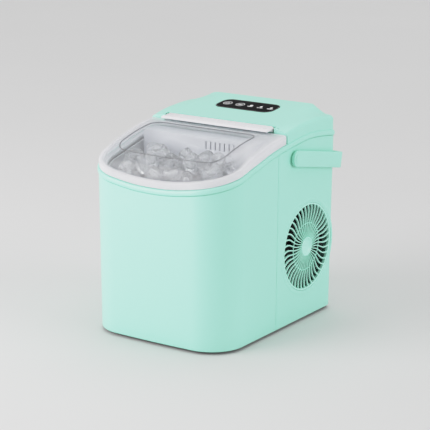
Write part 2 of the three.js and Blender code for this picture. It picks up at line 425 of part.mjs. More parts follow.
// ---------------------------------------------------------------- compressor, condenser, fan
{
  const CX = -45, CY = 80;
  const shell = S(new THREE.LatheGeometry([[0, 19], [36, 19], [41, 24], [42, 60], [44, 64], [42, 68], [41, 98], [34, 112], [18, 119], [0, 121]].map(p => new THREE.Vector2(p[0], p[1])), 20).rotateX(Math.PI / 2).translate(CX, CY, 0));
  const feet = [[CX - 42, CY + 26], [CX + 42, CY + 26], [CX, CY - 49]];
  let plate = cyl('z', 16, 19.4, CX, CY, 44, 18);
  for (const [x, y] of feet) plate = plate.add(cyl('z', 16, 19.4, x, y, 9, 16));
  put('compressor', union(shell, plate), mat(0x1d1f21, 0.4));
  feet.forEach(([x, y], i) => put('compressor_mount_' + (i + 1), new THREE.LatheGeometry([[0, 7.8], [8, 7.8], [8, 10], [6, 11], [6, 13], [8, 14], [8, 15.7], [0, 15.7]].map(p => new THREE.Vector2(p[0], p[1])), 14).rotateX(Math.PI / 2).translate(x, y, 0), mat(0x222426, 0.85)));
  const pts = [[20, 48], [120, 48]];
  const n = 15, h = 116 / (n - 0.45);
  for (let i = 0; i < n - 1; i++) { const z = 48 + i * h; pts.push([120, z + h * 0.55], [117, z + h * 0.55], [117, z + h], [120, z + h]); }
  pts.push([120, 164], [20, 164]);
  for (let i = n - 2; i >= 0; i--) { const z = 48 + i * h; pts.push([20, z + h], [23, z + h], [23, z + h * 0.55], [20, z + h * 0.55]); }
  put('condenser', prismX(pts, 58, 78), mat(0xb9bdbf, 0.35, 0.85));
  const ring1 = cut(cyl('x', 80.2, 104, FAN_Y, FAN_Z, 55.5, 24), cyl('x', 70, 110, FAN_Y, FAN_Z, 53, 24));
  let sh = union(cut(box(80.2, 82.7, 18, 126, 48, 164), cyl('x', 70, 110, FAN_Y, FAN_Z, 53, 24)), ring1);
  const spokes = union(box(80.2, 82.7, FAN_Y - 3, FAN_Y + 3, FAN_Z - 54, FAN_Z + 54), box(80.2, 82.7, FAN_Y - 54, FAN_Y + 54, FAN_Z - 3, FAN_Z + 3), cyl('x', 80.2, 84.5, FAN_Y, FAN_Z, 19, 16));
  sh = cut(union(sh, spokes), cyl('x', 70, 110, FAN_Y, FAN_Z, 16.9, 16));
  put('fan_shroud', sh, mat(DARK, 0.55));
  put('fan_motor', union(cyl('x', 79, 92, FAN_Y, FAN_Z, 16.3, 16), cyl('x', 91, 101.5, FAN_Y, FAN_Z, 2, 8)), mat(GREY, 0.4, 0.6));
  let rot = cyl('x', 94, 105, FAN_Y, FAN_Z, 15.5, 20);
  for (let k = 0; k < 7; k++) {
    const b = boxG(-0.9, 0.9, -7.4, 7.4, 13, 49.5).applyMatrix4(new THREE.Matrix4().makeRotationZ(rad(58)));
    rot = rot.add(S(b.applyMatrix4(new THREE.Matrix4().makeRotationX(2 * Math.PI * k / 7)).translate(99.5, FAN_Y, FAN_Z)));
  }
  put('fan_rotor', cut(rot, cyl('x', 85, 102.5, FAN_Y, FAN_Z, 2.4, 8)), mat(0x2c2f31, 0.5));
  put('discharge_pipe', tubeG([[-32, 96, 118.5], [-30, 99, 138], [-8, 104, 150], [30, 106, 162], [56, 106, 174], [68, 106, 176], [69, 106, 164.6]], 2.5, 6, 18), mat(0xb8734a, 0.3, 0.9));
  put('suction_pipe', tubeG([[-50, -9, 241], [-50, 14, 241], [-53, 25, 232], [-58, 31, 195], [-62, 52, 150], [-60, 66, 118.8]], 3, 6, 18), mat(0xb8734a, 0.3, 0.9));
  put('filter_drier', union(cyl('z', 72, 124, 40, 130, 6, 16), cyl('z', 66, 130, 40, 130, 2.5, 10)), mat(0xb8734a, 0.3, 0.9));
}

// ---------------------------------------------------------------- power board and cord gland
put('power_board', union(box(-100, -36, 133, 134.8, 142, 226), box(-92, -66, 114, 133.5, 180, 212), box(-58, -44, 121, 133.5, 186, 206), box(-90, -72, 123, 133.5, 150, 166), box(-58, -42, 124, 133.5, 152, 172)), mat(0x2f7a4f, 0.5));
put('cord_gland', cut(S(new THREE.LatheGeometry([[0, 136.6], [10.4, 136.6], [10.4, 139], [8, 139], [8, 142.7], [11, 142.7], [10.2, 145.2], [0, 145.2]].map(p => new THREE.Vector2(p[0], p[1])), 20).translate(-72, 0, 34)), cyl('y', 130, 150, -72, 34, 4, 16)), mat(0x222426, 0.6));

export default root;
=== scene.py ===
# Countertop ice maker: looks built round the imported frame. Metres, +Z up, front faces -Y.
import math

import bmesh
import bpy
import numpy as np
from mathutils import Matrix, Vector


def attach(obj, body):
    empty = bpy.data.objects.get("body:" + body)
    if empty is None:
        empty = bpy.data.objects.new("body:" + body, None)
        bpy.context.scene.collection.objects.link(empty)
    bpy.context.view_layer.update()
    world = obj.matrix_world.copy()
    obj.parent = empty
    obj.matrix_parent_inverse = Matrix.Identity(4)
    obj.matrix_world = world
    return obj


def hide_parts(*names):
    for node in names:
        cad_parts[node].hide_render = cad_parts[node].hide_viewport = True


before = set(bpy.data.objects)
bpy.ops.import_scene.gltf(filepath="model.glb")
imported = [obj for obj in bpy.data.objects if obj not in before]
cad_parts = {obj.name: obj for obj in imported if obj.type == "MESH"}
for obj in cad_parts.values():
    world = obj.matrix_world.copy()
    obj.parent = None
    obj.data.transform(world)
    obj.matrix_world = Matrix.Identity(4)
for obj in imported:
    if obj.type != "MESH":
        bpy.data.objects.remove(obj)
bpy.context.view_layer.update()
scene = bpy.context.scene
MM = 0.001

# ------------------------------------------------------------------ dimensions, mm, body frame
W, D, BOW = 222.0, 284.2, 1.2
R_FRONT, R_BACK, Z_BOTTOM = 49.5, 14.0, 4.0
WALL, GAP, SEAM_Y, SHIFT_Y, G_TOP = 2.5, 0.3, -9.7, -4.9, 1.8
BEAD_H, BEAD_OUT, LID_GAP, LID_REAR = 7.8, 1.7, 0.7, 12.0
HINGE_Y, HINGE_Z = 17.2, 277.6
DECK_Y0, DECK_SLOPE, DECK_Z, DECK_ZY = 13.0, 0.1185, 281.3, 19.5
PANEL_Y, PANEL_A, PANEL_B, PANEL_R = 87.0, 48.5, 17.5, 15.0
FAN_Y, FAN_Z, GRILLE_R = 69.4, 105.9, 61.9
HANDLE_Y, HANDLE_Z, HANDLE_DROOP, HANDLE_L = 31.0, 238.4, 11.0, 124.6
HANDLE_H, HANDLE_X, HANDLE_T = 22.4, 119.3, 4.8
S_CORNER = W / 2 - R_FRONT
S_SIDE = S_CORNER + R_FRONT * math.pi / 2
Y_SIDE0 = -D / 2 + R_FRONT


def mix(a, b, t):
    return a + (b - a) * t


def side_s(y):
    return S_SIDE + (y - Y_SIDE0)


def table(rows):
    xs = [r[0] for r in rows]
    ys = [r[1] for r in rows]
    e = len(rows) - 1

    def slope(j):
        return 0.0 if j <= 0 or j >= e else (ys[j + 1] - ys[j - 1]) / (xs[j + 1] - xs[j - 1])

    def f(x):
        if x <= xs[0]:
            return ys[0]
        if x >= xs[e]:
            return ys[e]
        i = 0
        while x > xs[i + 1]:
            i += 1
        h = xs[i + 1] - xs[i]
        t = (x - xs[i]) / h
        t2, t3 = t * t, t * t * t
        return (2 * t3 - 3 * t2 + 1) * ys[i] + (t3 - 2 * t2 + t) * h * slope(i) + (3 * t2 - 2 * t3) * ys[i + 1] + (t3 - t2) * h * slope(i + 1)

    return f


z_lip = table([(0, 208.5), (30, 209.6), (61.5, 213.6), (100, 220.5), (139.3, 230), (155, 234), (179, 240), (203, 246), (228, 250.6), (253, 254), (279, 257), (305, 258.6), (332, 257), (359, 253.5), (377, 251), (400, 250)])
z_crest = table([(10.5, 276), (26, 279), (46, 282), (72, 284), (88, 284.6), (104, 284.4), (120, 282.6), (142, 280)])
lid_rim = table([(0, 10), (61.5, 10), (139.3, 10), (160, 12.8), (245, 12.2), (260, 11.5)])


def z_deck(y):
    return DECK_Z + DECK_SLOPE * (y - DECK_ZY)


def z_lid(s):
    return z_lip(s) + BEAD_H + LID_GAP


def z_win(y):
    return 268.8 + 0.2 * (y + 60) - 6.6 * ((y + 60) / 60) ** 2


def plan(f, d, b, g, rb=R_BACK, rear_y=None, n=(18, 34, 30, 10, 14)):
    """Outline of the body seen from above: (x, y, s) rows, anticlockwise from the middle of the front."""
    hw, yf = W / 2 + g - d, -D / 2 - g + f
    yb = D / 2 + g - b if rear_y is None else rear_y
    rf = max(2.0, R_FRONT + g - (f + d) / 2)
    rr = max(0.6, rb)
    cx, cy = hw - rf, yf + rf + BOW
    half = []
    for i in range(n[0]):
        t = i / n[0]
        half.append((cx * t, yf + BOW * t * t, S_CORNER * t))
    for i in range(n[1]):
        t = i / n[1]
        a = -math.pi / 2 + t * math.pi / 2
        half.append((cx + rf * math.cos(a), cy + rf * math.sin(a), mix(S_CORNER, S_SIDE, t)))
    ye = yb - rr
    for i in range(n[2]):
        y = mix(cy, ye, i / n[2])
        half.append((hw, y, side_s(y)))
    for i in range(n[3]):
        a = i / n[3] * math.pi / 2
        half.append((hw - rr + rr * math.cos(a), ye + rr * math.sin(a), side_s(ye) + rr * a))
    sb = side_s(ye) + rr * math.pi / 2
    for i in range(n[4] + 1):
        half.append((mix(hw - rr, 0, i / n[4]), yb, sb + (hw - rr) * i / n[4]))
    return half + [(-x, y, s) for x, y, s in reversed(half[1:-1])]


def ring(pl, zf):
    return [(x, y, zf if isinstance(zf, (int, float)) else zf(s, x, y)) for x, y, s in pl]


def spline(rows, sub, closed=False):
    """Smooth rows through control rows, all the same length. sub is the steps in each gap."""
    a = np.array(rows, float)
    k = len(a)
    out = []
    for i in range(k if closed else k - 1):
        n = sub[i] if isinstance(sub, (list, tuple)) else sub
        if closed:
            p0, p1, p2, p3 = a[(i - 1) % k], a[i], a[(i + 1) % k], a[(i + 2) % k]
        else:
            p0, p1, p2, p3 = a[max(i - 1, 0)], a[i], a[i + 1], a[min(i + 2, k - 1)]
        # tangents scaled to the uneven spacing keep the curve from overshooting
        d1 = np.linalg.norm(p2 - p1, axis=-1, keepdims=True) + 1e-9
        d0 = np.linalg.norm(p1 - p0, axis=-1, keepdims=True)
        d2 = np.linalg.norm(p3 - p2, axis=-1, keepdims=True)
        m1 = (p2 - p0) / (d0 + d1) * d1
        m2 = (p3 - p1) / (d1 + d2) * d1
        for j in range(n):
            t = j / n
            t2, t3 = t * t, t * t * t
            out.append((2 * t3 - 3 * t2 + 1) * p1 + (t3 - 2 * t2 + t) * m1 + (3 * t2 - 2 * t3) * p2 + (t3 - t2) * m2)
    if not closed:
        out.append(a[-1])
    return out


# ------------------------------------------------------------------ mesh tools
def raw(name, verts, faces, matrix=None, shift=True):
    v = np.array(verts, float).reshape(-1, 3)
    if matrix is not None:
        m = np.array(matrix, float)
        v = v @ m[:3, :3].T + m[:3, 3]
    if shift:
        v = v + np.array([0, SHIFT_Y, 0])
    me = bpy.data.meshes.new(name)
    me.from_pydata((v * MM).tolist(), [], [list(f) for f in faces])
    me.validate()
    ob = bpy.data.objects.new(name, me)
    scene.collection.objects.link(ob)
    return ob


def loft(name, rings, looped=False, caps=(True, True), closed=True, matrix=None):
    rows = [np.array(r, float) for r in rings]
    n, k = len(rows[0]), len(rows)
    verts = np.concatenate(rows).tolist()
    faces = []
    for i in range(k if looped else k - 1):
        a, b = i * n, ((i + 1) % k) * n
        for j in range(n if closed else n - 1):
            j2 = (j + 1) % n
            faces.append((a + j, a + j2, b + j2, b + j))
    if not looped:
        if caps[0]:
            faces.append(tuple(reversed(range(n))))
        if caps[1]:
            faces.append(tuple((k - 1) * n + j for j in range(n)))
    ob = raw(name, verts, faces, matrix)
    outward(ob)
    return ob


def outward(ob):
    bm = bmesh.new()
    bm.from_mesh(ob.data)
    bmesh.ops.recalc_face_normals(bm, faces=bm.faces)
    bm.to_mesh(ob.data)
    bm.free()


def boxm(name, x0, x1, y0, y1, z0, z1, matrix=None):
    v = [(x, y, z) for z in (z0, z1) for y in (y0, y1) for x in (x0, x1)]
    f = [(0, 2, 3, 1), (4, 5, 7, 6), (0, 1, 5, 4), (2, 6, 7, 3), (0, 4, 6, 2), (1, 3, 7, 5)]
    return raw(name, v, f, matrix)


def lathe(name, prof, axis, u, v, seg=48, matrix=None):
    """Turned solid: prof rows are (radius, position along the axis)."""
    rings = []
    for r, t in prof:
        row = []
        for i in range(seg):
            a = 2 * math.pi * i / seg
            p, q = max(r, 1e-3) * math.cos(a), max(r, 1e-3) * math.sin(a)
            row.append({"x": (t, u + p, v + q), "y": (u + q, t, v + p), "z": (u + p, v + q, t)}[axis])
        rings.append(row)
    return loft(name, rings, matrix=matrix)


def cylm(name, axis, a, b, u, v, r, seg=48, matrix=None):
    return lathe(name, [(r, a), (r, b)], axis, u, v, seg, matrix)


def evaluated(ob):
    dg = bpy.context.evaluated_depsgraph_get()
    me = bpy.data.meshes.new_from_object(ob.evaluated_get(dg))
    old = ob.data
    ob.modifiers.clear()
    ob.data = me
    if old.users == 0:
        bpy.data.meshes.remove(old)
    return ob


def boolean(ob, op, *tools, solver="MANIFOLD"):
    for t in tools:
        m = ob.modifiers.new("b", "BOOLEAN")
        m.operation, m.object, m.solver = op, t, solver
    evaluated(ob)
    for t in tools:
        me = t.data
        bpy.data.objects.remove(t)
        bpy.data.meshes.remove(me)
    return ob


def cut(ob, *tools):
    return boolean(ob, "DIFFERENCE", *tools)


def join(ob, *others):
    bm = bmesh.new()
    bm.from_mesh(ob.data)
    for o in others:
        bm.from_mesh(o.data)
        me = o.data
        bpy.data.objects.remove(o)
        bpy.data.meshes.remove(me)
    bm.to_mesh(ob.data)
    bm.free()
    return ob


def bevel(ob, width, seg=2, angle=38):
    m = ob.modifiers.new("edge", "BEVEL")
    m.width, m.segments, m.limit_method = width * MM, seg, "ANGLE"
    m.angle_limit = math.radians(angle)
    m.use_clamp_overlap = True
    m.miter_outer = "MITER_ARC"
    return evaluated(ob)


def smooth(ob, angle=32):
    bm = bmesh.new()
    bm.from_mesh(ob.data)
    lim = math.radians(angle)
    for f in bm.faces:
        f.smooth = True
    for e in bm.edges:
        e.smooth = not (len(e.link_faces) == 2 and e.calc_face_angle(0) > lim)
    bm.to_mesh(ob.data)
    bm.free()
    return ob


def weld(ob, dist=0.0002):
    bm = bmesh.new()
    bm.from_mesh(ob.data)
    bmesh.ops.remove_doubles(bm, verts=bm.verts, dist=dist * MM)
    bm.to_mesh(ob.data)
    bm.free()
    return ob


def put(ob, material, body="root", stands_for=(), angle=32):
    if angle:
        smooth(ob, angle)
    ob.data.materials.clear()
    ob.data.materials.append(material)
    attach(ob, body)
    if stands_for:
        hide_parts(*stands_for)
    return ob


# ------------------------------------------------------------------ materials
def srgb(r, g, b):
    def f(c):
        c /= 255
        return c / 12.92 if c <= 0.04045 else ((c + 0.055) / 1.055) ** 2.4
    return (f(r), f(g), f(b), 1.0)


def scaled(c, k):
    return (min(c[0] * k, 1), min(c[1] * k, 1), min(c[2] * k, 1), 1.0)


class Mat:
    def __init__(self, name):
        self.m = bpy.data.materials.new(name)
        self.m.use_nodes = True
        self.nt = self.m.node_tree
        self.bsdf = self.nt.nodes["Principled BSDF"]
        self.out = self.nt.nodes["Material Output"]
        self.tc = self.n("ShaderNodeTexCoord")

    def n(self, kind, **kw):
        x = self.nt.nodes.new(kind)
        for k, v in kw.items():
            setattr(x, k, v)
        return x

    def link(self, a, b):
        self.nt.links.new(a, b)

    def noise(self, scale, detail=3.0, rough=0.55, stretch=None):
        no = self.n("ShaderNodeTexNoise")
        no.inputs["Scale"].default_value = scale
        no.inputs["Detail"].default_value = detail
        no.inputs["Roughness"].default_value = rough
        if stretch:
            mp = self.n("ShaderNodeMapping")
            mp.inputs["Scale"].default_value = stretch
            self.link(self.tc.outputs["Object"], mp.inputs["Vector"])
            self.link(mp.outputs["Vector"], no.inputs["Vector"])
        else:
            self.link(self.tc.outputs["Object"], no.inputs["Vector"])
        return no.outputs["Fac"]

    def ramp(self, fac, stops):
        r = self.n("ShaderNodeValToRGB")
        e = r.color_ramp.elements
        e[0].position, e[0].color = stops[0]
        e[1].position, e[1].color = stops[-1]
        for p, c in stops[1:-1]:
            x = e.new(p)
            x.color = c
        self.link(fac, r.inputs["Fac"])
        return r.outputs["Color"]

    def rng(self, fac, a, b, lo=0.3, hi=0.7):
        r = self.n("ShaderNodeMapRange")
        for k, v in (("From Min", lo), ("From Max", hi), ("To Min", a), ("To Max", b)):
            r.inputs[k].default_value = v
        self.link(fac, r.inputs["Value"])
        return r.outputs["Result"]

    def bump(self, height, strength, distance, normal=None):
        b = self.n("ShaderNodeBump")
        b.inputs["Strength"].default_value = strength
        b.inputs["Distance"].default_value = distance
        self.link(height, b.inputs["Height"])
        if normal is not None:
            self.link(normal, b.inputs["Normal"])
        return b.outputs["Normal"]


def plastic(name, col, rough=0.35, var=0.03, grain=900.0, bump=0.08, dist=0.00006, spec=0.5, cloud=9.0, metal=0.0, rvar=0.06, coat=0.0, sub=0.0):
    k = Mat(name)
    big, fine = k.noise(cloud, 4), k.noise(grain, 2)
    k.link(k.ramp(big, [(0.3, scaled(col, 1 - var)), (0.7, scaled(col, 1 + var))]), k.bsdf.inputs["Base Color"])
    k.link(k.rng(big, rough - rvar, rough + rvar), k.bsdf.inputs["Roughness"])
    k.link(k.bump(fine, bump, dist), k.bsdf.inputs["Normal"])
    k.bsdf.inputs["Metallic"].default_value = metal
    k.bsdf.inputs["Specular IOR Level"].default_value = spec
    if coat:
        k.bsdf.inputs["Coat Weight"].default_value = coat
        k.bsdf.inputs["Coat Roughness"].default_value = 0.08
    if sub:
        k.bsdf.inputs["Subsurface Weight"].default_value = sub
        k.bsdf.inputs["Subsurface Radius"].default_value = (0.004, 0.005, 0.005)
        k.bsdf.inputs["Subsurface Scale"].default_value = 1.0
    return k.m


def brushed(name, col, rough=0.3, stretch=(4, 4, 400), var=0.08):
    k = Mat(name)
    a, b = k.noise(60, 4, 0.6, stretch=stretch), k.noise(14, 3)
    k.link(k.ramp(a, [(0.3, scaled(col, 1 - var)), (0.7, scaled(col, 1 + var))]), k.bsdf.inputs["Base Color"])
    k.link(k.rng(b, rough - 0.08, rough + 0.1), k.bsdf.inputs["Roughness"])
    k.link(k.bump(a, 0.15, 0.00008), k.bsdf.inputs["Normal"])
    k.bsdf.inputs["Metallic"].default_value = 1.0
    return k.m


def clear(name, tint=(0.97, 0.985, 0.99, 1), haze=0.06, rough=0.03, gloss=1.0, haze_col=(0.86, 0.88, 0.92, 1), attribute=None, frost=0.6, frost_col=(0.86, 0.87, 0.90, 1), spots=26.0):
    """Thin clear plastic: see-through, with a Fresnel reflection and a little haze; an attribute makes it milky."""
    k = Mat(name)
    nt = k.nt
    nt.nodes.remove(k.bsdf)
    see = k.n("ShaderNodeBsdfTransparent")
    see.inputs["Color"].default_value = tint
    glo = k.n("ShaderNodeBsdfGlossy")
    glo.inputs["Color"].default_value = (1, 1, 1, 1)
    dif = k.n("ShaderNodeBsdfDiffuse")
    tra = k.n("ShaderNodeBsdfTranslucent")
    tra.inputs["Color"].default_value = frost_col
    soft, fine = k.noise(spots, 4), k.noise(700, 2)
    k.link(k.ramp(soft, [(0.25, scaled(haze_col, 0.96)), (0.75, scaled(haze_col, 1.03))]), dif.inputs["Color"])
    k.link(k.rng(soft, max(rough - 0.015, 0.005), rough + 0.03), glo.inputs["Roughness"])
    nb = k.bump(soft, 0.12, 0.0004)
    nf = k.bump(fine, 0.05, 0.00003, nb)
    k.link(nf, glo.inputs["Normal"])
    milk = k.n("ShaderNodeMixShader")
    milk.inputs["Fac"].default_value = 0.45
    k.link(dif.outputs[0], milk.inputs[1])
    k.link(tra.outputs[0], milk.inputs[2])
    body = k.n("ShaderNodeMixShader")
    hz = k.rng(soft, haze * 0.7, haze * 1.3)
    if attribute:
        at = k.n("ShaderNodeAttribute", attribute_name=attribute)
        fr = k.n("ShaderNodeMath", operation="MULTIPLY")
        k.link(at.outputs["Fac"], fr.inputs[0])
        fr.inputs[1].default_value = frost
        ad = k.n("ShaderNodeMath", operation="ADD", use_clamp=True)
        k.link(fr.outputs[0], ad.inputs[0])
        k.link(hz, ad.inputs[1])
        k.link(ad.outputs[0], body.inputs["Fac"])
    else:
        k.link(hz, body.inputs["Fac"])
    k.link(see.outputs[0], body.inputs[1])
    k.link(milk.outputs[0], body.inputs[2])
    face = k.n("ShaderNodeLayerWeight")
    face.inputs["Blend"].default_value = 0.5
    k.link(nf, face.inputs["Normal"])
    pw = k.n("ShaderNodeMath", operation="POWER")
    k.link(face.outputs["Facing"], pw.inputs[0])
    pw.inputs[1].default_value = 5.0
    sc = k.n("ShaderNodeMath", operation="MULTIPLY_ADD")
    k.link(pw.outputs[0], sc.inputs[0])
    sc.inputs[1].default_value = 0.9 * gloss
    sc.inputs[2].default_value = 0.012 * gloss
    top = k.n("ShaderNodeMixShader")
    k.link(sc.outputs[0], top.inputs["Fac"])
    k.link(body.outputs[0], top.inputs[1])
    k.link(glo.outputs[0], top.inputs[2])
    k.link(top.outputs[0], k.out.inputs["Surface"])
    return k.m


def ice_mat(name):
    """Clear ice with a cloudy core: glass, with white haze where the noise is dense. Light passes through to what lies below."""
    k = Mat(name)
    b = k.bsdf
    b.inputs["Base Color"].default_value = (0.995, 0.995, 1.0, 1)
    b.inputs["Transmission Weight"].default_value = 1.0
    b.inputs["IOR"].default_value = 1.29
    cloud, fine = k.noise(70, 4), k.noise(260, 3)
    k.link(k.rng(cloud, 0.015, 0.07), b.inputs["Roughness"])
    nb = k.bump(cloud, 0.25, 0.0006)
    k.link(k.bump(fine, 0.12, 0.0002, nb), b.inputs["Normal"])
    milk = k.n("ShaderNodeBsdfDiffuse")
    k.link(k.ramp(cloud, [(0.3, (0.93, 0.935, 0.95, 1)), (0.7, (0.985, 0.985, 0.995, 1))]), milk.inputs["Color"])
    see = k.n("ShaderNodeBsdfTransparent")
    see.inputs["Color"].default_value = (0.99, 0.99, 0.995, 1)
    a = k.n("ShaderNodeMixShader")
    k.link(k.rng(fine, 0.06, 0.36), a.inputs["Fac"])
    k.link(b.outputs[0], a.inputs[1])
    k.link(milk.outputs[0], a.inputs[2])
    c = k.n("ShaderNodeMixShader")
    k.link(k.rng(cloud, 0.12, 0.25), c.inputs["Fac"])
    k.link(a.outputs[0], c.inputs[1])
    k.link(see.outputs[0], c.inputs[2])
    k.link(c.outputs[0], k.out.inputs["Surface"])
    return k.m


MINT = (0.395, 0.835, 0.685, 1.0)
WHITE = (0.80, 0.82, 0.83, 1.0)
M = {}
M["mint"] = plastic("mint_shell", MINT, rough=0.36, var=0.012, bump=0.06, cloud=5.0, spec=0.45)
# a lighter copy of the body mint for the grille: painted light, so the rib sides read as lit
M["mint_side"] = plastic("mint_grille_painted_light", (0.47, 0.92, 0.77, 1), rough=0.34, var=0.015, bump=0.05, cloud=8.0, spec=0.45)
M["lid"] = clear("clear_lid", attribute="frost", haze=0.085, haze_col=(0.93, 0.93, 0.965, 1), frost_col=(0.93, 0.93, 0.96, 1), frost=0.9, gloss=0.8)
M["ice"] = ice_mat("clear_ice")
M["hood"] = plastic("hood_grey", (0.84, 0.85, 0.91, 1), rough=0.32, var=0.02, bump=0.05, cloud=12)
# dark grey for the window line: painted shade standing for the lid's refraction edge
M["line"] = plastic("window_edge_painted_shade", (0.17, 0.175, 0.185, 1), rough=0.35, var=0.1)
M["strip"] = plastic("frosted_white", (0.80, 0.80, 0.84, 1), rough=0.28, var=0.02, bump=0.05, cloud=14, sub=0.3)
M["panel"] = plastic("panel_black", (0.007, 0.007, 0.008, 1), rough=0.45, var=0.15, bump=0.02, cloud=20, spec=0.02)
M["edge"] = plastic("panel_edge", (0.62, 0.66, 0.66, 1), rough=0.25, var=0.04)
M["icon"] = plastic("lens_white", (0.92, 0.94, 0.95, 1), rough=0.35, var=0.03)
M["white"] = plastic("tank_white", WHITE, rough=0.32, var=0.015, bump=0.05, cloud=12)
M["basket"] = clear("basket_clear", haze=0.16, rough=0.06, haze_col=(0.80, 0.84, 0.88, 1))
M["tube"] = clear("clear_tube", haze=0.3, rough=0.08)
M["nickel"] = brushed("nickel_plate", (0.66, 0.67, 0.65, 1), rough=0.22)
M["steel"] = brushed("steel", (0.58, 0.58, 0.59, 1), rough=0.3)
M["fin"] = brushed("fin_dark", (0.055, 0.058, 0.062, 1), rough=0.5, stretch=(200, 4, 4))
M["copper"] = brushed("copper", (0.72, 0.33, 0.18, 1), rough=0.28)
M["motor"] = brushed("motor_metal", (0.45, 0.46, 0.47, 1), rough=0.38)
M["rubber"] = plastic("rubber_black", (0.018, 0.018, 0.02, 1), rough=0.75, var=0.12, grain=500, bump=0.2, spec=0.25)
M["dark"] = plastic("dark_plastic", (0.03, 0.032, 0.035, 1), rough=0.5, var=0.1, bump=0.15)
M["board"] = plastic("circuit_board", (0.03, 0.20, 0.08, 1), rough=0.4, var=0.2, cloud=180, bump=0.2)
M["foam"] = plastic("foam", (0.78, 0.76, 0.70, 1), rough=0.9, var=0.06, grain=260, bump=0.5, dist=0.0004, spec=0.1)
M["plug"] = plastic("soft_plug", (0.70, 0.73, 0.73, 1), rough=0.5, var=0.03)
M["comp"] = plastic("compressor_black", (0.012, 0.013, 0.015, 1), rough=0.32, var=0.15, cloud=30, bump=0.15, grain=300, coat=0.3)
M["sensor"] = plastic("sensor_dark", (0.03, 0.028, 0.035, 1), rough=0.2, var=0.1)

# ------------------------------------------------------------------ housings
def slope_x(y, z):
    """Outer face of the straight side wall at (y, z)."""
    top = z_lip(side_s(y)) - GAP
    return W / 2 + G_TOP * (z - Z_BOTTOM - 1.8) / (top - Z_BOTTOM - 1.8)


FAN_X = slope_x(FAN_Y, FAN_Z)
TILT = math.atan((slope_x(FAN_Y, FAN_Z + 40) - slope_x(FAN_Y, FAN_Z - 40)) / 80)


def shell_rings():
    P = {}
    rows = []
    for ins, z in ((2.2, Z_BOTTOM), (1.3, Z_BOTTOM + 0.05), (0.6, Z_BOTTOM + 0.5), (0.15, Z_BOTTOM + 1.2)):
        rows.append(np.array(ring(plan(ins, ins, ins, 0, R_BACK - ins * 0.5), z)))
    b = np.array(ring(plan(0, 0, 0, 0), Z_BOTTOM + 1.8))
    c = np.array(ring(plan(0, 0, 0, G_TOP), lambda s, x, y: z_lip(s) - GAP))
    for i in range(13):
        rows.append(b + (c - b) * i / 12)
    d = np.array(ring(plan(WALL, WALL, WALL, G_TOP, R_BACK - WALL), lambda s, x, y: z_lip(s) - GAP))
    e = np.array(ring(plan(WALL, WALL, WALL, 0, R_BACK - WALL), Z_BOTTOM))
    rows += [d, d + (e - d) * 0.5, e]
    return rows


def half_shell(name, front):
    ob = loft(name, shell_rings(), looped=True)
    bm = bmesh.new()
    bm.from_mesh(ob.data)
    y = (SEAM_Y + (-0.22 if front else 0.22) + SHIFT_Y) * MM
    r = bmesh.ops.bisect_plane(bm, geom=bm.verts[:] + bm.edges[:] + bm.faces[:], plane_co=(0, y, 0), plane_no=(0, 1, 0), clear_outer=front, clear_inner=not front)
    edges = [g for g in r["geom_cut"] if isinstance(g, bmesh.types.BMEdge)]
    bmesh.ops.holes_fill(bm, edges=edges, sides=0)
    bmesh.ops.recalc_face_normals(bm, faces=bm.faces)
    # a hairline chamfer along the seam
    cut_edges = [e for e in bm.edges if all(abs(v.co.y - y) < 1e-7 for v in e.verts) and abs(e.verts[0].co.z - e.verts[1].co.z) > 1e-6]
    bmesh.ops.bevel(bm, geom=cut_edges, offset=0.25 * MM, segments=2, profile=0.5, affect="EDGES", clamp_overlap=True)
    bm.to_mesh(ob.data)
    bm.free()
    return ob


front = half_shell("shell_front", True)
cut(front, cylm("t", "x", -120, -100, -60, 52, 9.6, 48))
put(front, M["mint"], stands_for=["front_housing"], angle=30)

rear = half_shell("shell_rear", False)
tools = [cylm("t", "x", 100, 125, FAN_Y, FAN_Z, GRILLE_R + GAP, 128),
         cylm("t", "x", 100, 125, HANDLE_Y, HANDLE_Z, 4.3, 32), cylm("t", "x", -125, -100, HANDLE_Y, HANDLE_Z, 4.3, 32),
         cylm("t", "y", 130, 150, -72, 34, 8.4, 40)]
for i in range(9):
    z, h = 66 + i * 10, 34 * math.sqrt(1 - ((i - 4) / 5.2) ** 2)
    rows = []
    for x in (-125, -100):
        row = []
        for k in range(8):
            a = -math.pi / 2 + math.pi * k / 7
            row.append((x, FAN_Y + h - 1.7 + 1.7 * math.cos(a), z + 1.7 * math.sin(a)))
        for k in range(8):
            a = math.pi / 2 + math.pi * k / 7
            row.append((x, FAN_Y - h + 1.7 + 1.7 * math.cos(a), z + 1.7 * math.sin(a)))
        rows.append(row)
    tools.append(loft("t", rows))
cut(rear, *tools)
# raised ring moulded round the grille
prof = [(64.2, -0.8), (64.2, 0.0), (64.6, 0.2), (65.3, 0.36), (66.4, 0.4), (67.5, 0.3), (68.3, 0.1), (68.7, 0.0), (68.7, -0.8)]
rim = []
for r, h in prof:
    row = []
    for i in range(144):
        a = 2 * math.pi * i / 144
        y, z = FAN_Y + r * math.cos(a), FAN_Z + r * math.sin(a)
        row.append((slope_x(y, z) + h, y, z))
    rim.append(row)
join(rear, loft("t", rim, looped=True))
put(rear, M["mint"], stands_for=["rear_housing"], angle=30)

# ------------------------------------------------------------------ top cover
lip = [(0.3, 0), (-0.7, 0.5), (-1.5, 1.8), (-BEAD_OUT, 4), (-1.4, 6.2), (-0.7, 7.3), (0.4, BEAD_H)]
ctrl = [np.array(ring(plan(i, i, i, G_TOP, max(2, R_BACK - i)), lambda s, x, y, dz=dz: z_lip(s) + dz)) for i, dz in lip]
rows = spline(ctrl, 2)
for i, dz in [(1.6, BEAD_H), (10.5, BEAD_H), (10.5, BEAD_H - 2.5), (5.6, BEAD_H - 2.5), (5.6, -5.5), (3.1, -5.5), (3.1, 0)]:
    rows.append(np.array(ring(plan(i, i, i, G_TOP, max(2, R_BACK - i)), lambda s, x, y, dz=dz: z_lip(s) + dz)))
bead = loft("cover_top", rows, looped=True)
join(bead, boxm("t", -104, 104, -3, 26, 257.6, 260.4))

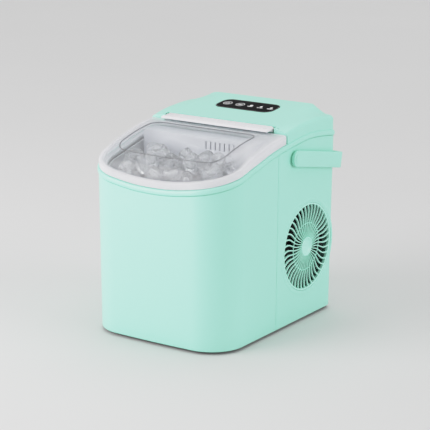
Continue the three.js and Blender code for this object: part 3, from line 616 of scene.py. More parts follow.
DECK_ROWS = [(0.6, 0.6, 13.5, "w", 7), (0.6, 0.6, 13.5, "c", -4), (3.2, 2.8, 13, "c", -0.4), (10, 6, 14, "c", 1.2), (28, 13.5, 8, "d", 0)]


def deck_ring(k, inner):
    d, b, rb, kind, dz = DECK_ROWS[k]
    t = WALL if inner else 0
    hw, yb, r, y0 = W / 2 + G_TOP - d - t, D / 2 + G_TOP - b - t, max(2, rb - t), DECK_Y0 + t
    half = [(hw * i / 16, y0) for i in range(17)]
    half += [(hw, mix(y0, yb - r, i / 30)) for i in range(1, 31)]
    half += [(hw - r + r * math.cos(i / 12 * math.pi / 2), yb - r + r * math.sin(i / 12 * math.pi / 2)) for i in range(1, 12)]
    half += [(mix(hw - r, 0, i / 14), yb) for i in range(15)]
    pl = half + [(-x, y) for x, y in reversed(half[1:-1])]
    out = []
    for x, y in pl:
        if kind == "w":
            z = z_lip(side_s(min(y, 128)) + max(0, y - 128)) + dz
        elif kind == "c":
            z = min(z_crest(y) + dz, z_deck(min(y, 131)) - 0.4 + dz * 0.2) - t
        else:
            z = z_deck(min(y, 130)) + dz - t
        out.append((x, y, z))
    return np.array(out)


outer = [deck_ring(k, False) for k in range(5)]
inner = [deck_ring(k, True) for k in range(5)]
skin = [outer[0]] + spline(outer[1:], [3, 5, 8])
mid = np.array([0, (DECK_Y0 + D / 2) / 2, 0])


def shrink(r, k):
    q = r.copy()
    q[:, 0] *= k
    q[:, 1] = mid[1] + (q[:, 1] - mid[1]) * k
    q[:, 2] = [z_deck(min(y, 130)) for y in q[:, 1]]
    return q


crown = [shrink(outer[4], k) for k in (0.7, 0.4, 0.1)]
lo = [shrink(outer[4], k) - np.array([0, 0, WALL]) for k in (0.1, 0.4, 0.7)]
deck = loft("t", lo + list(reversed(inner)) + skin + crown)
solid = loft("t2", skin + crown)
solid2 = solid.copy()
solid2.data = solid.data.copy()
scene.collection.objects.link(solid2)
solid3 = solid.copy()
solid3.data = solid.data.copy()
scene.collection.objects.link(solid3)
ears = [boolean(s, "INTERSECT", b) for s, b in zip((solid, solid2, solid3), (boxm("b", 84, 107.5, 10, 25, 256, 300), boxm("b", -107.5, -84, 10, 25, 256, 300), boxm("b", -92, 92, 19, 24, 256, 300)))]
boolean(deck, "UNION", *ears)
PM = Matrix.Translation((0, PANEL_Y, z_deck(PANEL_Y))) @ Matrix.Rotation(math.atan(DECK_SLOPE), 4, "X")


def round_rect(a, b, r, seg=14):
    p = []
    for sx, sy, t0 in ((1, -1, -90), (1, 1, 0), (-1, 1, 90), (-1, -1, 180)):
        for k in range(seg + 1):
            t = math.radians(t0 + 90 * k / seg)
            p.append((sx * (a - r) + r * math.cos(t), sy * (b - r) + r * math.sin(t)))
    return p


def slab(name, outline, z0, z1, matrix, edge=0.0):
    """A flat plate with the outline, its upper edge rounded by edge."""
    a = np.array(outline, float)
    c = a.mean(0)
    rows = [(0.0, z0)]
    if edge:
        for k in range(5):
            t = k / 4 * math.pi / 2
            rows.append((edge * (1 - math.cos(t)), z1 - edge + edge * math.sin(t)))
    else:
        rows.append((0.0, z1))
    nrm = np.roll(a, -1, 0) - np.roll(a, 1, 0)
    nrm = np.stack([nrm[:, 1], -nrm[:, 0]], 1)
    nrm /= np.linalg.norm(nrm, axis=1, keepdims=True)
    rings = [np.concatenate([a - nrm * i, np.full((len(a), 1), z)], 1) for i, z in rows]
    return loft(name, rings, matrix=matrix)


BUTTON_X, LENS_X = (-33.5, -12.5), (5.0, 21.5, 38.0)
notch = raw("t", [(-91.5, 5, 262), (91.5, 5, 262), (91.5, 21.3, 262), (-91.5, 21.3, 262), (-88.6, 5, 300), (88.6, 5, 300), (88.6, 21.3, 300), (-88.6, 21.3, 300)],
            [(3, 2, 1, 0), (4, 5, 6, 7), (0, 1, 5, 4), (1, 2, 6, 5), (2, 3, 7, 6), (3, 0, 4, 7)])
cut(deck, notch, cylm("t", "x", 86, 95.5, HINGE_Y, HINGE_Z, 2.05, 24), cylm("t", "x", -95.5, -86, HINGE_Y, HINGE_Z, 2.05, 24),
    slab("t", round_rect(47.8, 20.0, 13.9), -0.9, 5, PM),
    *[cylm("t", "z", -8, 5, x, 0, 7.4, 40, PM) for x in BUTTON_X])
join(bead, deck)
put(bead, M["mint"], stands_for=["top_cover"], angle=26)

# ------------------------------------------------------------------ control panel
plate = slab("panel_plate", round_rect(47.4, 19.6, 13.5), -0.6, 0.3, PM, edge=0.28)
cut(plate, *[cylm("t", "z", -8, 5, x, 0, 7.3, 48, PM) for x in BUTTON_X])
put(plate, M["panel"], stands_for=["control_panel"], angle=30)


def band(name, outline, inset, z0, z1, matrix):
    a = np.array(outline, float)
    nrm = np.roll(a, -1, 0) - np.roll(a, 1, 0)
    nrm = np.stack([nrm[:, 1], -nrm[:, 0]], 1)
    nrm /= np.linalg.norm(nrm, axis=1, keepdims=True)
    z = lambda q, h: np.concatenate([q, np.full((len(q), 1), h)], 1)
    b = a - nrm * inset
    return loft(name, [z(a, z0), z(a, z1), z(b, z1), z(b, z0)], looped=True, matrix=matrix)


def circle(r, n=40, x=0.0, y=0.0):
    return [(x + r * math.cos(2 * math.pi * i / n), y + r * math.sin(2 * math.pi * i / n)) for i in range(n)]


def arc_band(r0, r1, a0, a1, z0, z1, x, y, matrix, n=24):
    rows = []
    for i in range(n + 1):
        a = math.radians(mix(a0, a1, i / n))
        c, s = math.cos(a), math.sin(a)
        rows.append([(x + r0 * c, y + r0 * s, z0), (x + r1 * c, y + r1 * s, z0), (x + r1 * c, y + r1 * s, z1), (x + r0 * c, y + r0 * s, z1)])
    return loft("t", rows, matrix=matrix)


line = band("panel_outline", round_rect(46.7, 18.9, 12.8, 20), 0.3, 0.28, 0.36, PM)
put(line, M["edge"], angle=30)

for name, body, x in (("power_button", "power_key", BUTTON_X[0]), ("select_button", "select_key", BUTTON_X[1])):
    cap = lathe("key_" + body, [(0.01, -6.2), (3.4, -6.2), (3.4, -2.6), (7, -2.6), (7, 0.05), (6.9, 0.3), (6.6, 0.45), (5.5, 0.42), (3, 0.36), (0.01, 0.34)], "z", x, 0, 56, PM)
    put(cap, M["panel"], body, stands_for=[name], angle=30)
    marks = band("t", circle(6.6, 64, x), 0.8, 0.36, 0.54, PM)
    if body == "power_key":
        bits = [arc_band(2.4, 3.3, 125, 415, 0.3, 0.5, x, -0.3, PM), boxm("t", x - 0.45, x + 0.45, 0.2, 3.9, 0.3, 0.5, PM)]
    else:
        bits = [band("t", round_rect(3.3, 2.4, 0.7), 0.75, 0.3, 0.5, PM @ Matrix.Translation((x, -0.1, 0))), boxm("t", x - 1.5, x + 1.5, -0.5, 0.3, 0.3, 0.5, PM)]
    marks = join(marks, *bits)
    marks.name = "mark_" + body
    put(marks, M["icon"], body, angle=30)


def poly(points, z0, z1, matrix):
    a = np.array(points, float)
    return loft("t", [np.concatenate([a, np.full((len(a), 1), z)], 1) for z in (z0, z1)], matrix=matrix)


ICON = 1.35
for name, x, kind in (("left", LENS_X[0], 0), ("middle", LENS_X[1], 1), ("right", LENS_X[2], 2)):
    z0, z1 = -0.5, 0.42
    at = PM @ Matrix.Translation((x, 0, 0)) @ Matrix.Scale(ICON, 4, (1, 0, 0)) @ Matrix.Scale(ICON, 4, (0, 1, 0))
    if kind == 0:      # a cube over a tray
        bits = [poly([(-1.6, 0.6), (0.1, -0.4), (1.8, 0.6), (1.8, 2.6), (0.1, 3.5), (-1.6, 2.6)], z0, z1, at), poly([(-3.2, -1.2), (-2.4, -2.6), (2.6, -2.6), (3.4, -1.2)], z0, z1, at)]
    elif kind == 1:    # a drop over a basin
        bits = [poly([(0.1, 3.8), (-1.2, 1.8), (-1.5, 0.7), (-0.9, -0.3), (0.1, -0.7), (1.1, -0.3), (1.7, 0.7), (1.4, 1.8)], z0, z1, at), poly([(-3.4, -1.4), (-2.9, -3.0), (3.1, -3.0), (3.6, -1.4), (2.6, -1.4), (2.2, -2.1), (-2.0, -2.1), (-2.4, -1.4)], z0, z1, at)]
    else:              # a hexagon over two bars
        bits = [poly([(-1.7, 1.6), (-0.8, 0.1), (0.9, 0.1), (1.8, 1.6), (0.9, 3.2), (-0.8, 3.2)], z0, z1, at), poly([(-3.4, -0.9), (-3.4, -1.7), (3.6, -1.7), (3.6, -0.9)], z0, z1, at), poly([(-2.6, -2.5), (-2.6, -3.2), (2.8, -3.2), (2.8, -2.5)], z0, z1, at)]
    lens = join(bits[0], *bits[1:])
    lens.name = "icon_" + name
    put(lens, M["icon"], stands_for=["indicator_lens_" + name], angle=30)

# ------------------------------------------------------------------ clear lid
LID_N = (18, 34, 26, 10, 16)
LID_ROWS = [(0.7, 0.7, 0.4, "e", 0), (0.2, 0.2, 0.0, "e", 0.5), (0.2, 0.2, 0.0, "r", -3.0), (0.9, 0.9, 0.4, "r", -0.9), (3.2, 3.2, 2, "r", 0),
            (7.0, 7.0, 5, "r", 0.25), (8.6, 8.8, 6.6, "m", 0.12), (11.2, 12.6, 9.6, "m", 0.68), (14.2, 17.2, 14, "m", 0.93), (18.5, 24, 22, "m", 1.0)]


def lid_ring(k, inner, scale=1.0):
    f, d, r, kind, v = LID_ROWS[k]
    t = 2.2 if inner else 0.0
    pl = plan(f + t, d + t, 0, G_TOP, max(1.2, 4 + max(k - 3, 0) * 1.6 - t), LID_REAR - r - t, LID_N)
    out = []
    for x, y, s in pl:
        ss = min(side_s(LID_REAR), s)
        top, px, py = z_lid(ss) + lid_rim(ss), x * scale, -57 + (y + 57) * scale
        z = z_lid(ss) + v if kind == "e" else top + v if kind == "r" else mix(top + 0.3, z_win(py), v)
        out.append((px, py, z if kind == "e" else z - t))
    return np.array(out)


outer = [lid_ring(k, False) for k in range(10)]
inner = [lid_ring(k, True) for k in range(10)]
skin = spline(outer, [2, 1, 3, 3, 3, 3, 4, 4, 5]) + [lid_ring(9, False, k) for k in (0.86, 0.7, 0.5, 0.3, 0.1)]
under = [lid_ring(9, True, k) for k in (0.1, 0.3, 0.5, 0.7, 0.86)] + list(reversed(spline(inner[2:], [3, 3, 3, 3, 4, 4, 5]))) + [inner[0]]
lid = loft("lid_clear", under + skin)
# how milky each point is: the rim, and a softer band along the sides and the rear; clear in front and over the window
FRONT = [0.95, 0.95, 0.9, 0.85, 0.7, 0.12, 0.05, 0.02, 0.01, 0.0]
SIDES = [0.95, 0.95, 0.9, 0.85, 0.8, 0.62, 0.5, 0.42, 0.38, 0.34]
steps = [2, 1, 3, 3, 3, 3, 4, 4, 5]


def milk(table, under_side):
    out = [] if not under_side else [table[0]]
    first = 2 if under_side else 0
    for i, n in list(zip(range(9), steps))[first:]:
        out += [mix(table[i], table[i + 1], j / n) for j in range(n)]
    return out + [table[-1], table[-1] * 0.12] + [0.0] * 4


per = len(outer[0])
front = np.repeat(np.array(list(reversed(milk(FRONT, True))) + milk(FRONT, False)), per)
sides = np.repeat(np.array(list(reversed(milk(SIDES, True))) + milk(SIDES, False)), per)
lid_y = np.array([v.co.y for v in lid.data.vertices]) * 1000 - SHIFT_Y
w = np.clip((lid_y + 118) / 52, 0, 1)
w = w * w * (3 - 2 * w)
vals = front * (1 - w) + sides * w
att = lid.data.attributes.new("frost", "FLOAT", "POINT")
assert len(vals) == len(lid.data.vertices), (len(vals), len(lid.data.vertices))
att.data.foreach_set("value", vals.astype(np.float32))
put(lid, M["lid"], "lid_assembly", stands_for=["lid"], angle=60)

# fine raised line where the flat window starts, its dark grey a painted shade standing for the refraction edge of the
# clear lid
pts = np.array([(x, y, z_win(y)) for x, y, _ in plan(29, 28.5, 0, G_TOP, 16, LID_REAR - 28, LID_N)])
away = pts - np.array([0, (LID_REAR - D / 2) / 2, 0])
away[:, 2] = 0
away /= np.linalg.norm(away, axis=1, keepdims=True)
rows = []
for i in range(8):
    a = 2 * math.pi * i / 8
    rows.append(pts + away * 0.85 * math.cos(a) + np.array([0, 0, 0.6 * math.sin(a) + 0.3]))
line = loft("window_line_painted_shade", rows, looped=True)
put(line, M["line"], "lid_assembly", angle=60)

# white inner liner under the lid's foot
prof = [(2.75, BEAD_H + 0.02), (3.0, BEAD_H + 0.4), (10.6, BEAD_H + 0.4), (11.0, BEAD_H), (11.0, BEAD_H - 3.2), (10.0, BEAD_H - 3.2), (5.3, BEAD_H - 3.4), (5.3, -5.5), (5.7, -5.6), (5.7, BEAD_H - 2.4), (10.45, BEAD_H - 2.4), (10.45, BEAD_H + 0.02)]
rows = [ring(plan(i, i, i, G_TOP, max(2, R_BACK - i), LID_REAR + 1.0 - max(0, i - 3) * 0.1), lambda s, x, y, dz=dz: z_lip(min(s, side_s(LID_REAR))) + dz) for i, dz in prof]
liner = loft("tank_top_liner", rows, looped=True)
put(liner, M["white"], angle=30)

STRIP = [(0.4, 275.9), (12.4, 276.4), (12.7, 274.6), (15, 273.7), (18.4, 273.9), (20, 275.8), (20.3, 277.8), (19.7, 279.7), (18.2, 281.2), (1.6, 279.4), (0.4, 278.3)]
rows = []
for x, k in ((-87.6, 0.0), (-84.2, 1.0), (-60, 1.0), (0, 1.0), (60, 1.0), (84.2, 1.0), (87.6, 0.0)):
    rows.append([(x, y, z - (0 if k else max(0, z - 277.6) * 0.62)) for y, z in STRIP])
strip = loft("hinge_strip", rows)
bevel(strip, 0.5, 3, 30)
cut(strip, cylm("t", "x", 79, 90, HINGE_Y, HINGE_Z, 2.0, 24), cylm("t", "x", -90, -79, HINGE_Y, HINGE_Z, 2.0, 24))
put(strip, M["strip"], "lid_assembly", stands_for=["lid_hinge_strip"], angle=30)

# ------------------------------------------------------------------ carry handle
HM = Matrix.Translation((0, HANDLE_Y, HANDLE_Z)) @ Matrix.Rotation(-math.radians(HANDLE_DROOP), 4, "X")
R = HANDLE_H / 2
hx, L, rc = HANDLE_X - HANDLE_T / 2, HANDLE_L - HANDLE_T / 2, 6.6
path = []                       # (x, y, tangent x, tangent y, half height)
for i in range(1, 13):
    th = i / 12 * math.pi / 2
    path.append((-hx, -R * math.cos(th), 0, 1, R * math.sin(th)))
for i in range(1, 9):
    path.append((-hx, mix(0, L - rc, i / 9), 0, 1, R))
for i in range(13):
    a = math.pi - i / 12 * math.pi / 2
    path.append((-hx + rc + rc * math.cos(a), L - rc + rc * math.sin(a), math.sin(a), -math.cos(a), R))
path.append((-hx / 2, L, 1, 0, R))
path.append((0, L, 1, 0, R))
path = path + [(-x, y, tx, -ty, h) for x, y, tx, ty, h in reversed(path[:-1])]
rows = []
for x, y, tx, ty, h in path:
    nx, ny = ty, -tx
    c = min(1.3, h * 0.6)
    row = []
    for su, sv, t0 in ((1, -1, -90), (1, 1, 0), (-1, 1, 90), (-1, -1, 180)):
        for k in range(5):
            t = math.radians(t0 + 22.5 * k)
            u = su * (HANDLE_T / 2 - c) + c * math.cos(t)
            u *= 0.78 if u > 0 else 1.0        # the inner face stands clear of the lip
            v = sv * (h - c) + c * math.sin(t)
            row.append((x + nx * u, y + ny * u, v))
    rows.append(row)
handle = loft("handle_bar", rows, matrix=HM)
cut(handle, cylm("t", "x", -150, 150, 0, 0, 4.3, 32, HM))
put(handle, M["mint"], "handle", stands_for=["carry_handle"], angle=34)
for sg, side in ((1, "right"), (-1, "left")):
    pin = [(0.01, 105.6), (7.2, 105.6), (7.2, 109.9), (4, 109.9), (4, 113.1), (6.6, 113.1), (6.6, 114.1), (4, 114.2), (4, 119.45), (6.9, 119.5), (7.2, 119.6), (7.0, 119.75), (0.01, 119.9)]
    p = lathe("pivot_" + side, [(r, sg * t) for r, t in pin], "x", HANDLE_Y, HANDLE_Z, 48)
    put(p, M["mint"], stands_for=["handle_pivot_" + side], angle=30)

# ------------------------------------------------------------------ fan grille
GM = Matrix.Translation((FAN_X, FAN_Y, FAN_Z)) @ Matrix.Rotation(TILT, 4, "Y")


def gpt(r, a, h):
    return (h, r * math.cos(a), r * math.sin(a))


def glathe(prof, seg=144):
    return loft("t", [[gpt(r, 2 * math.pi * i / seg, h) for i in range(seg)] for r, h in prof], looped=True, matrix=GM)


parts = [
    glathe([(61.9, -3.0), (61.9, -0.25), (61.6, 0.1), (61.1, 0.2), (60.0, 0.15), (59.5, -0.15), (59.3, -0.8), (59.3, -4.2), (61.0, -4.2)]),
    glathe([(32.8, -3.0), (32.8, -1.9), (33.0, -1.7), (33.6, -1.7), (33.8, -1.9), (33.8, -3.0)]),
]
hub = loft("t", [[gpt(r, 2 * math.pi * i / 72, h) for i in range(72)] for r, h in
                 [(11.4, -4.2), (13.2, -4.0), (13.6, -0.9), (13.2, -0.3), (12.5, -0.05), (11.8, -0.3), (10.8, -1.4), (8, -2.6), (4.5, -3.1), (0.05, -3.3)]], matrix=GM)
parts.append(hub)
RIBS, SWING = 40, 0.05
for k in range(RIBS):
    a0 = 2 * math.pi * (k + 0.5) / RIBS
    rows = []
    n = 22
    for i in range(n + 1):
        t = i / n
        r = mix(12.8, 60.2, t)
        swing = SWING * math.sin(math.pi * 2 * t) + 0.05 * t
        a = a0 + swing
        da = (SWING * math.cos(math.pi * 2 * t) * math.pi * 2 + 0.05) / (60.2 - 12.8)
        tr, tt = 1.0, r * da
        ln = math.hypot(tr, tt)
        # direction across the rib in the face plane
        cr, ct = -tt / ln, tr / ln
        w = mix(0.55, 1.1, t)
        y, z = r * math.cos(a), r * math.sin(a)
        cy = cr * math.cos(a) - ct * math.sin(a)
        cz = cr * math.sin(a) + ct * math.cos(a)
        dip = -0.25 - 0.35 * math.sin(math.pi * t)
        rows.append([(h + dip, y + cy * o, z + cz * o) for o, h in ((-w * 0.75, -2.7), (-w, -0.7), (-w * 0.72, -0.18), (0, 0.0), (w * 0.72, -0.18), (w, -0.7), (w * 0.75, -2.7))])
    parts.append(loft("t", rows, matrix=GM))
grille = join(parts[0], *parts[1:])
grille.name = "grille_ribs"
# the grille takes the lighter mint copy: painted light on the ribs
put(grille, M["mint_side"], stands_for=["fan_grille"], angle=38)

# ------------------------------------------------------------------ bullet ice in the basket
# each row: centre x, y, z in mm, then its turn as a quaternion (w, x, y, z)
ICE = [
    (10.2, -88.3, 136.8, -0.699, -0.634, -0.314, -0.107),
    (-36.3, -85.9, 136.8, 0.24, -0.698, -0.121, 0.664),
    (-46.7, -58.3, 136.8, -0.274, 0.652, -0.274, 0.652),
    (41.8, -64.2, 136.9, 0.506, -0.572, 0.416, 0.494),
    (-40.3, -108.5, 136.9, 0.153, 0.691, 0.153, 0.69),
    (46.1, -108.5, 136.9, -0.549, 0.446, 0.549, -0.446),
    (-23, -63.2, 136.9, 0.521, 0.526, 0.472, -0.478),
    (3.7, -63.8, 136.9, 0.606, 0.564, -0.426, -0.365),
    (65.9, -61.2, 136.9, 0.6, -0.34, -0.62, 0.374),
    (71.5, -84.8, 136.9, 0.299, 0.299, -0.641, 0.641),
    (-71.5, -63.2, 136.9, 0.619, 0.618, -0.343, 0.343),
    (-66.8, -88.2, 137.8, -0.09, -0.725, 0.102, 0.675),
    (22.8, -108, 141.6, -0.001, 0.264, -0.965, -0.001),
    (-63.6, -106.8, 141.6, 0.988, 0.003, 0, -0.156),
    (24.8, -76.6, 141.7, -0.368, 0.002, 0.005, 0.93),
    (-17, -108.3, 141.8, 0.012, -0.683, 0.73, 0.009),
    (-10.8, -90.9, 141.8, 0.001, -0.021, 1, 0.015),
    (1.6, -108.8, 142.1, 0.021, -0.606, 0.795, 0.023),
    (-39.7, -96.9, 151.4, 0.568, -0.46, -0.568, 0.379),
    (39.2, -89, 152.6, 0.226, -0.635, -0.218, -0.706),
    (63, -100.8, 153.3, -0.641, -0.662, -0.226, -0.315),
    (-61.9, -66.7, 153.8, -0.643, 0.665, -0.003, -0.38),
    (-39.7, -65.4, 154.1, 0.53, -0.225, -0.517, -0.633),
    (-18.2, -68.3, 154.8, -0.314, -0.281, -0.656, 0.626),
    (65.9, -77.6, 155.2, -0.485, -0.006, 0.721, 0.495),
    (10.3, -88.3, 155.3, -0.674, -0.461, -0.536, 0.216),
    (44.1, -57.9, 158.5, 0.653, 0.288, -0.309, -0.628),
    (-73.3, -82.8, 160.1, 0.021, 0.368, -0.918, 0.145),
    (43, -109.9, 160.1, -0.914, -0.028, 0.012, -0.405),
    (73.6, -58, 160.7, 0.04, -0.097, -0.994, 0.02),
    (6.3, -57.8, 162.2, -0.095, -0.909, 0.236, 0.329),
    (-60.3, -105, 165, -0.228, 0.704, -0.084, -0.667),
    (-0.7, -103.8, 166.6, -0.305, 0.38, -0.53, -0.694),
    (29.9, -76.2, 167.7, -0.45, 0.562, 0.539, -0.437),
    (19.5, -110.5, 170, -0.02, 0.926, 0.376, 0.031),
    (-18.3, -110.6, 170.2, 0.094, 0.004, -0.029, 0.995),
    (-39.7, -74.6, 170.3, 0.593, 0.34, 0.712, -0.161),
    (53, -89.1, 171.7, 0.606, -0.453, 0.515, 0.403),
    (-53.7, -87.2, 173.1, -0.116, -0.528, -0.841, 0.008),
    (-11.4, -76.7, 173.2, -0.883, 0.215, 0.411, -0.071),
    (-67.5, -61.7, 173.2, -0.473, 0.346, -0.643, 0.493),
    (71.5, -91.6, 173.6, 0.211, -0.019, 0.661, 0.72),
    (-36.8, -110.7, 173.9, -0.029, 0.996, 0.084, 0.001),
    (-22, -92.7, 174.9, 0.399, 0.149, 0.073, 0.902),
    (-30.9, -57.6, 175.2, 0.032, -0.953, 0.156, -0.259),
    (50.4, -63.3, 177.7, -0.229, 0.359, -0.03, -0.904),
    (23.7, -57.5, 177.8, 0.245, -0.73, 0.536, -0.345),
    (-4, -57.5, 180.3, 0.139, 0.861, -0.404, -0.276),
    (35.4, -91.8, 180.5, -0.134, 0.677, 0.647, -0.323),
    (-61, -104.8, 183.6, -0.653, 0.17, 0.69, 0.264),
    (2.4, -100, 185.7, 0.493, -0.07, -0.716, 0.489),
    (-36.7, -86.9, 186.6, 0.639, 0.753, -0.049, -0.147),
    (68.8, -64.6, 187.1, -0.607, 0.533, -0.586, -0.062),
    (38, -111.6, 188.1, 0.017, -0.004, 0.031, -0.999),
    (-76, -86, 190.2, -0, 0.649, 0.758, 0.064),
    (20.6, -86.2, 190.3, -0.615, -0.02, -0.297, 0.73),
    (61.6, -105.8, 190.9, -0.019, 0.6, 0.39, -0.698),
    (-57.5, -62, 191.1, -0.138, 0.138, 0.698, 0.689),
    (-76.1, -61.9, 192.5, 0.428, 0.422, 0.56, -0.571),
    (30.9, -64.6, 194.3, 0.762, -0.424, 0.349, 0.344),
    (53.1, -84, 194.5, -0.701, 0.641, 0.102, -0.296),
    (76.7, -85.6, 197.9, 0.492, -0.008, 0.07, -0.868),
    (-21.2, -66.7, 198.2, -0.044, 0.423, 0.803, 0.417),
    (19.2, -112.2, 199.2, 0.061, -0.353, -0.933, -0.009),
    (11.3, -62.8, 199.4, -0.709, -0.685, 0.072, -0.152),
    (-6, -79.1, 200, 0.24, 0.969, -0.023, -0.054),
    (-17.6, -112.4, 200.8, -0.005, -0.819, 0.571, 0.064),
    (-48.7, -88.4, 201.2, -0.257, -0.725, -0.359, 0.529),
    (77.1, -61.9, 203.7, -0.098, 0.099, 0.699, 0.702),
    (-40.3, -111.8, 203.8, -0.765, 0.041, 0.13, -0.629),
    (-37.8, -57, 204.4, -0.572, 0.3, -0.228, 0.728),
    (-17.9, -93.8, 204.4, 0.131, -0.803, -0.546, 0.2),
    (-61.4, -110.6, 207.4, 0.009, -0.676, 0.736, -0.037),
    (50.5, -57, 207.6, 0.305, 0.026, 0.952, 0.002),
    (1.8, -112.8, 208.2, -0.058, 0.096, 0.993, 0.026),
    (-59, -61.6, 209.4, -0.389, 0.394, 0.592, 0.586),
    (58.7, -80.6, 212.1, 0.732, 0.671, 0.104, -0.06),
    (29.4, -75.7, 212.2, -0.073, 0.845, -0.155, 0.507),
    (12, -94.6, 213.1, 0.046, -0.534, 0.055, -0.842),
    (39.8, -95.8, 213.3, 0.072, -0.975, 0.057, 0.201),
    (-70.5, -93.4, 213.5, -0.469, -0.745, 0.061, 0.471),
    (53.2, -113.3, 215.2, 0.028, -0.993, 0.061, 0.096),
    (69, -103.2, 215.4, -0.012, -0.903, -0.426, 0.055),
    (-78.2, -56.8, 215.6, 0.002, -0.969, 0.243, -0.043),
    (-32, -97.9, 216.7, -0.039, -0.457, 0.79, 0.407),
    (-0.3, -64.1, 217.8, -0.829, -0.532, -0.016, -0.172),
    (20.1, -56.7, 218.3, 0.024, 0.302, -0.016, -0.953),
    (-78.4, -75.3, 218.9, 0.983, -0.001, -0.042, -0.18),
    (78.7, -68.2, 222.1, -0.619, 0.619, -0.342, -0.343),
    (-18.4, -57.4, 224.5, -0.136, -0.371, -0.063, -0.916),
    (34.7, -113.8, 225.1, -0.037, 0.177, -0.036, 0.983),
    (-22.6, -80.1, 225.5, 0.699, 0.479, -0.257, -0.464),
    (-42.3, -61.2, 226.4, 0.705, 0.696, -0.094, 0.096),
    (-60.5, -61.4, 227.3, -0.536, -0.528, -0.463, 0.468),
    (37.8, -80.6, 228.1, -0.556, 0.604, -0.532, 0.208),
    (-18.5, -114, 229, 0.616, 0.367, -0.353, -0.601),
    (61.4, -63.7, 229, 0.486, -0.715, 0.372, 0.338),
    (-51.7, -90, 230.2, -0.391, -0.087, -0.893, 0.205),
    (9.6, -87.7, 231, 0.85, 0.504, 0.154, 0.025),
    (-8.1, -95.7, 232.4, -0.418, -0.144, -0.029, -0.897),
    (40.9, -58.8, 232.9, 0.268, -0.364, 0.001, -0.892),
    (-0.2, -56.7, 240.2, 0.105, 0.875, 0.253, 0.399),
    (80.1, -65.7, 240.2, 0.692, -0.691, -0.148, -0.146),
    (-56.1, -56.1, 245.6, 0.504, 0.492, -0.482, -0.521),
    (-10.5, -78, 239, -0.846, -0.313, 0.386, -0.191),
    (53.2, -89.2, 236, 0.706, -0.131, -0.588, 0.371),
    (-73, -81.4, 239, 0.709, -0.689, 0.116, -0.096),
    (70.3, -104.1, 237.5, -0.767, 0.333, -0.522, -0.169),
    (-36.7, -69.6, 242, 0.656, -0.449, 0.551, 0.253),
    (19.5, -68.9, 240.5, 0.292, 0.771, 0.159, 0.544),
    (15.7, -110.6, 231.5, 0.694, -0.343, 0.451, -0.444),
    (38.6, -73.7, 248, 0.071, 0.08, 0.608, 0.786),
    (-65.2, -106.3, 231.5, 0.531, -0.269, -0.513, -0.619),
    (-31.1, -97.3, 240.5, -0.605, -0.698, -0.345, -0.165),
    (60, -72.3, 246.5, 0.049, 0.541, -0.52, 0.659),
    (29.9, -95.2, 240.5, 0.064, 0.633, -0.446, 0.629),
]


def bullet(seg=20):
    """One bullet of ice: rounded nose, flat melted mouth, hollow core."""
    prof = [(0.02, 14.0), (2.6, 13.8), (5.0, 13.0), (7.1, 11.4), (8.5, 9.2), (9.1, 6.2), (9.3, 2.0), (9.3, -8.0), (9.15, -12.2), (8.6, -13.5), (7.4, -14.0), (5.6, -13.9),
            (4.7, -13.2), (4.2, -11.0), (3.9, -4.0), (3.4, 2.0), (2.3, 4.6), (0.02, 5.6)]
    verts, faces = [], []
    for r, z in prof:
        for i in range(seg):
            a = 2 * math.pi * i / seg
            verts.append((r * math.cos(a), r * math.sin(a), z))
    for k in range(len(prof) - 1):
        for i in range(seg):
            j = (i + 1) % seg
            faces.append((k * seg + i, (k + 1) * seg + i, (k + 1) * seg + j, k * seg + j))
    faces.append(tuple(range(seg)))
    faces.append(tuple(reversed(range((len(prof) - 1) * seg, len(prof) * seg))))
    return np.array(verts), faces


BV, BF = bullet()
rng = np.random.default_rng(5)
ice_v, ice_f = [], []
for x, y, z, qw, qx, qy, qz in ICE:
    rot = np.array([[1 - 2 * (qy * qy + qz * qz), 2 * (qx * qy - qz * qw), 2 * (qx * qz + qy * qw)],
                    [2 * (qx * qy + qz * qw), 1 - 2 * (qx * qx + qz * qz), 2 * (qy * qz - qx * qw)],
                    [2 * (qx * qz - qy * qw), 2 * (qy * qz + qx * qw), 1 - 2 * (qx * qx + qy * qy)]])
    v = BV.copy()
    ph = rng.uniform(0, 6.28, 3)
    ang = np.arctan2(v[:, 1], v[:, 0])
    melt = 1 - 0.035 * (0.5 + 0.5 * np.sin(2 * ang + ph[0] + v[:, 2] * 0.12)) - 0.02 * (0.5 + 0.5 * np.sin(3 * ang + ph[1]))
    v[:, :2] *= melt[:, None]
    v[:, 2] *= rng.uniform(0.9, 1.0)
    base = len(ice_v)
    ice_v.extend((v @ rot.T + np.array([x, y, z])).tolist())
    ice_f.extend(tuple(i + base for i in f) for f in BF)
ice = raw("ice_bullets", ice_v, ice_f)
outward(ice)
put(ice, M["ice"], "basket", angle=70)

# ------------------------------------------------------------------ evaporator hood
hood = boxm("hood", -93, 93, -33, -4, 226, 266)
cut(hood, boxm("t", -90.8, 90.8, -30.8, 1, 220, 263.8), *[boxm("t", 11.5 + 7.5 * i - 1.0, 11.5 + 7.5 * i + 1.0, -35, -29, 250, 261) for i in range(9)])
bevel(hood, 0.8, 3, 30)
put(hood, M["hood"], stands_for=["evaporator_hood"], angle=30)

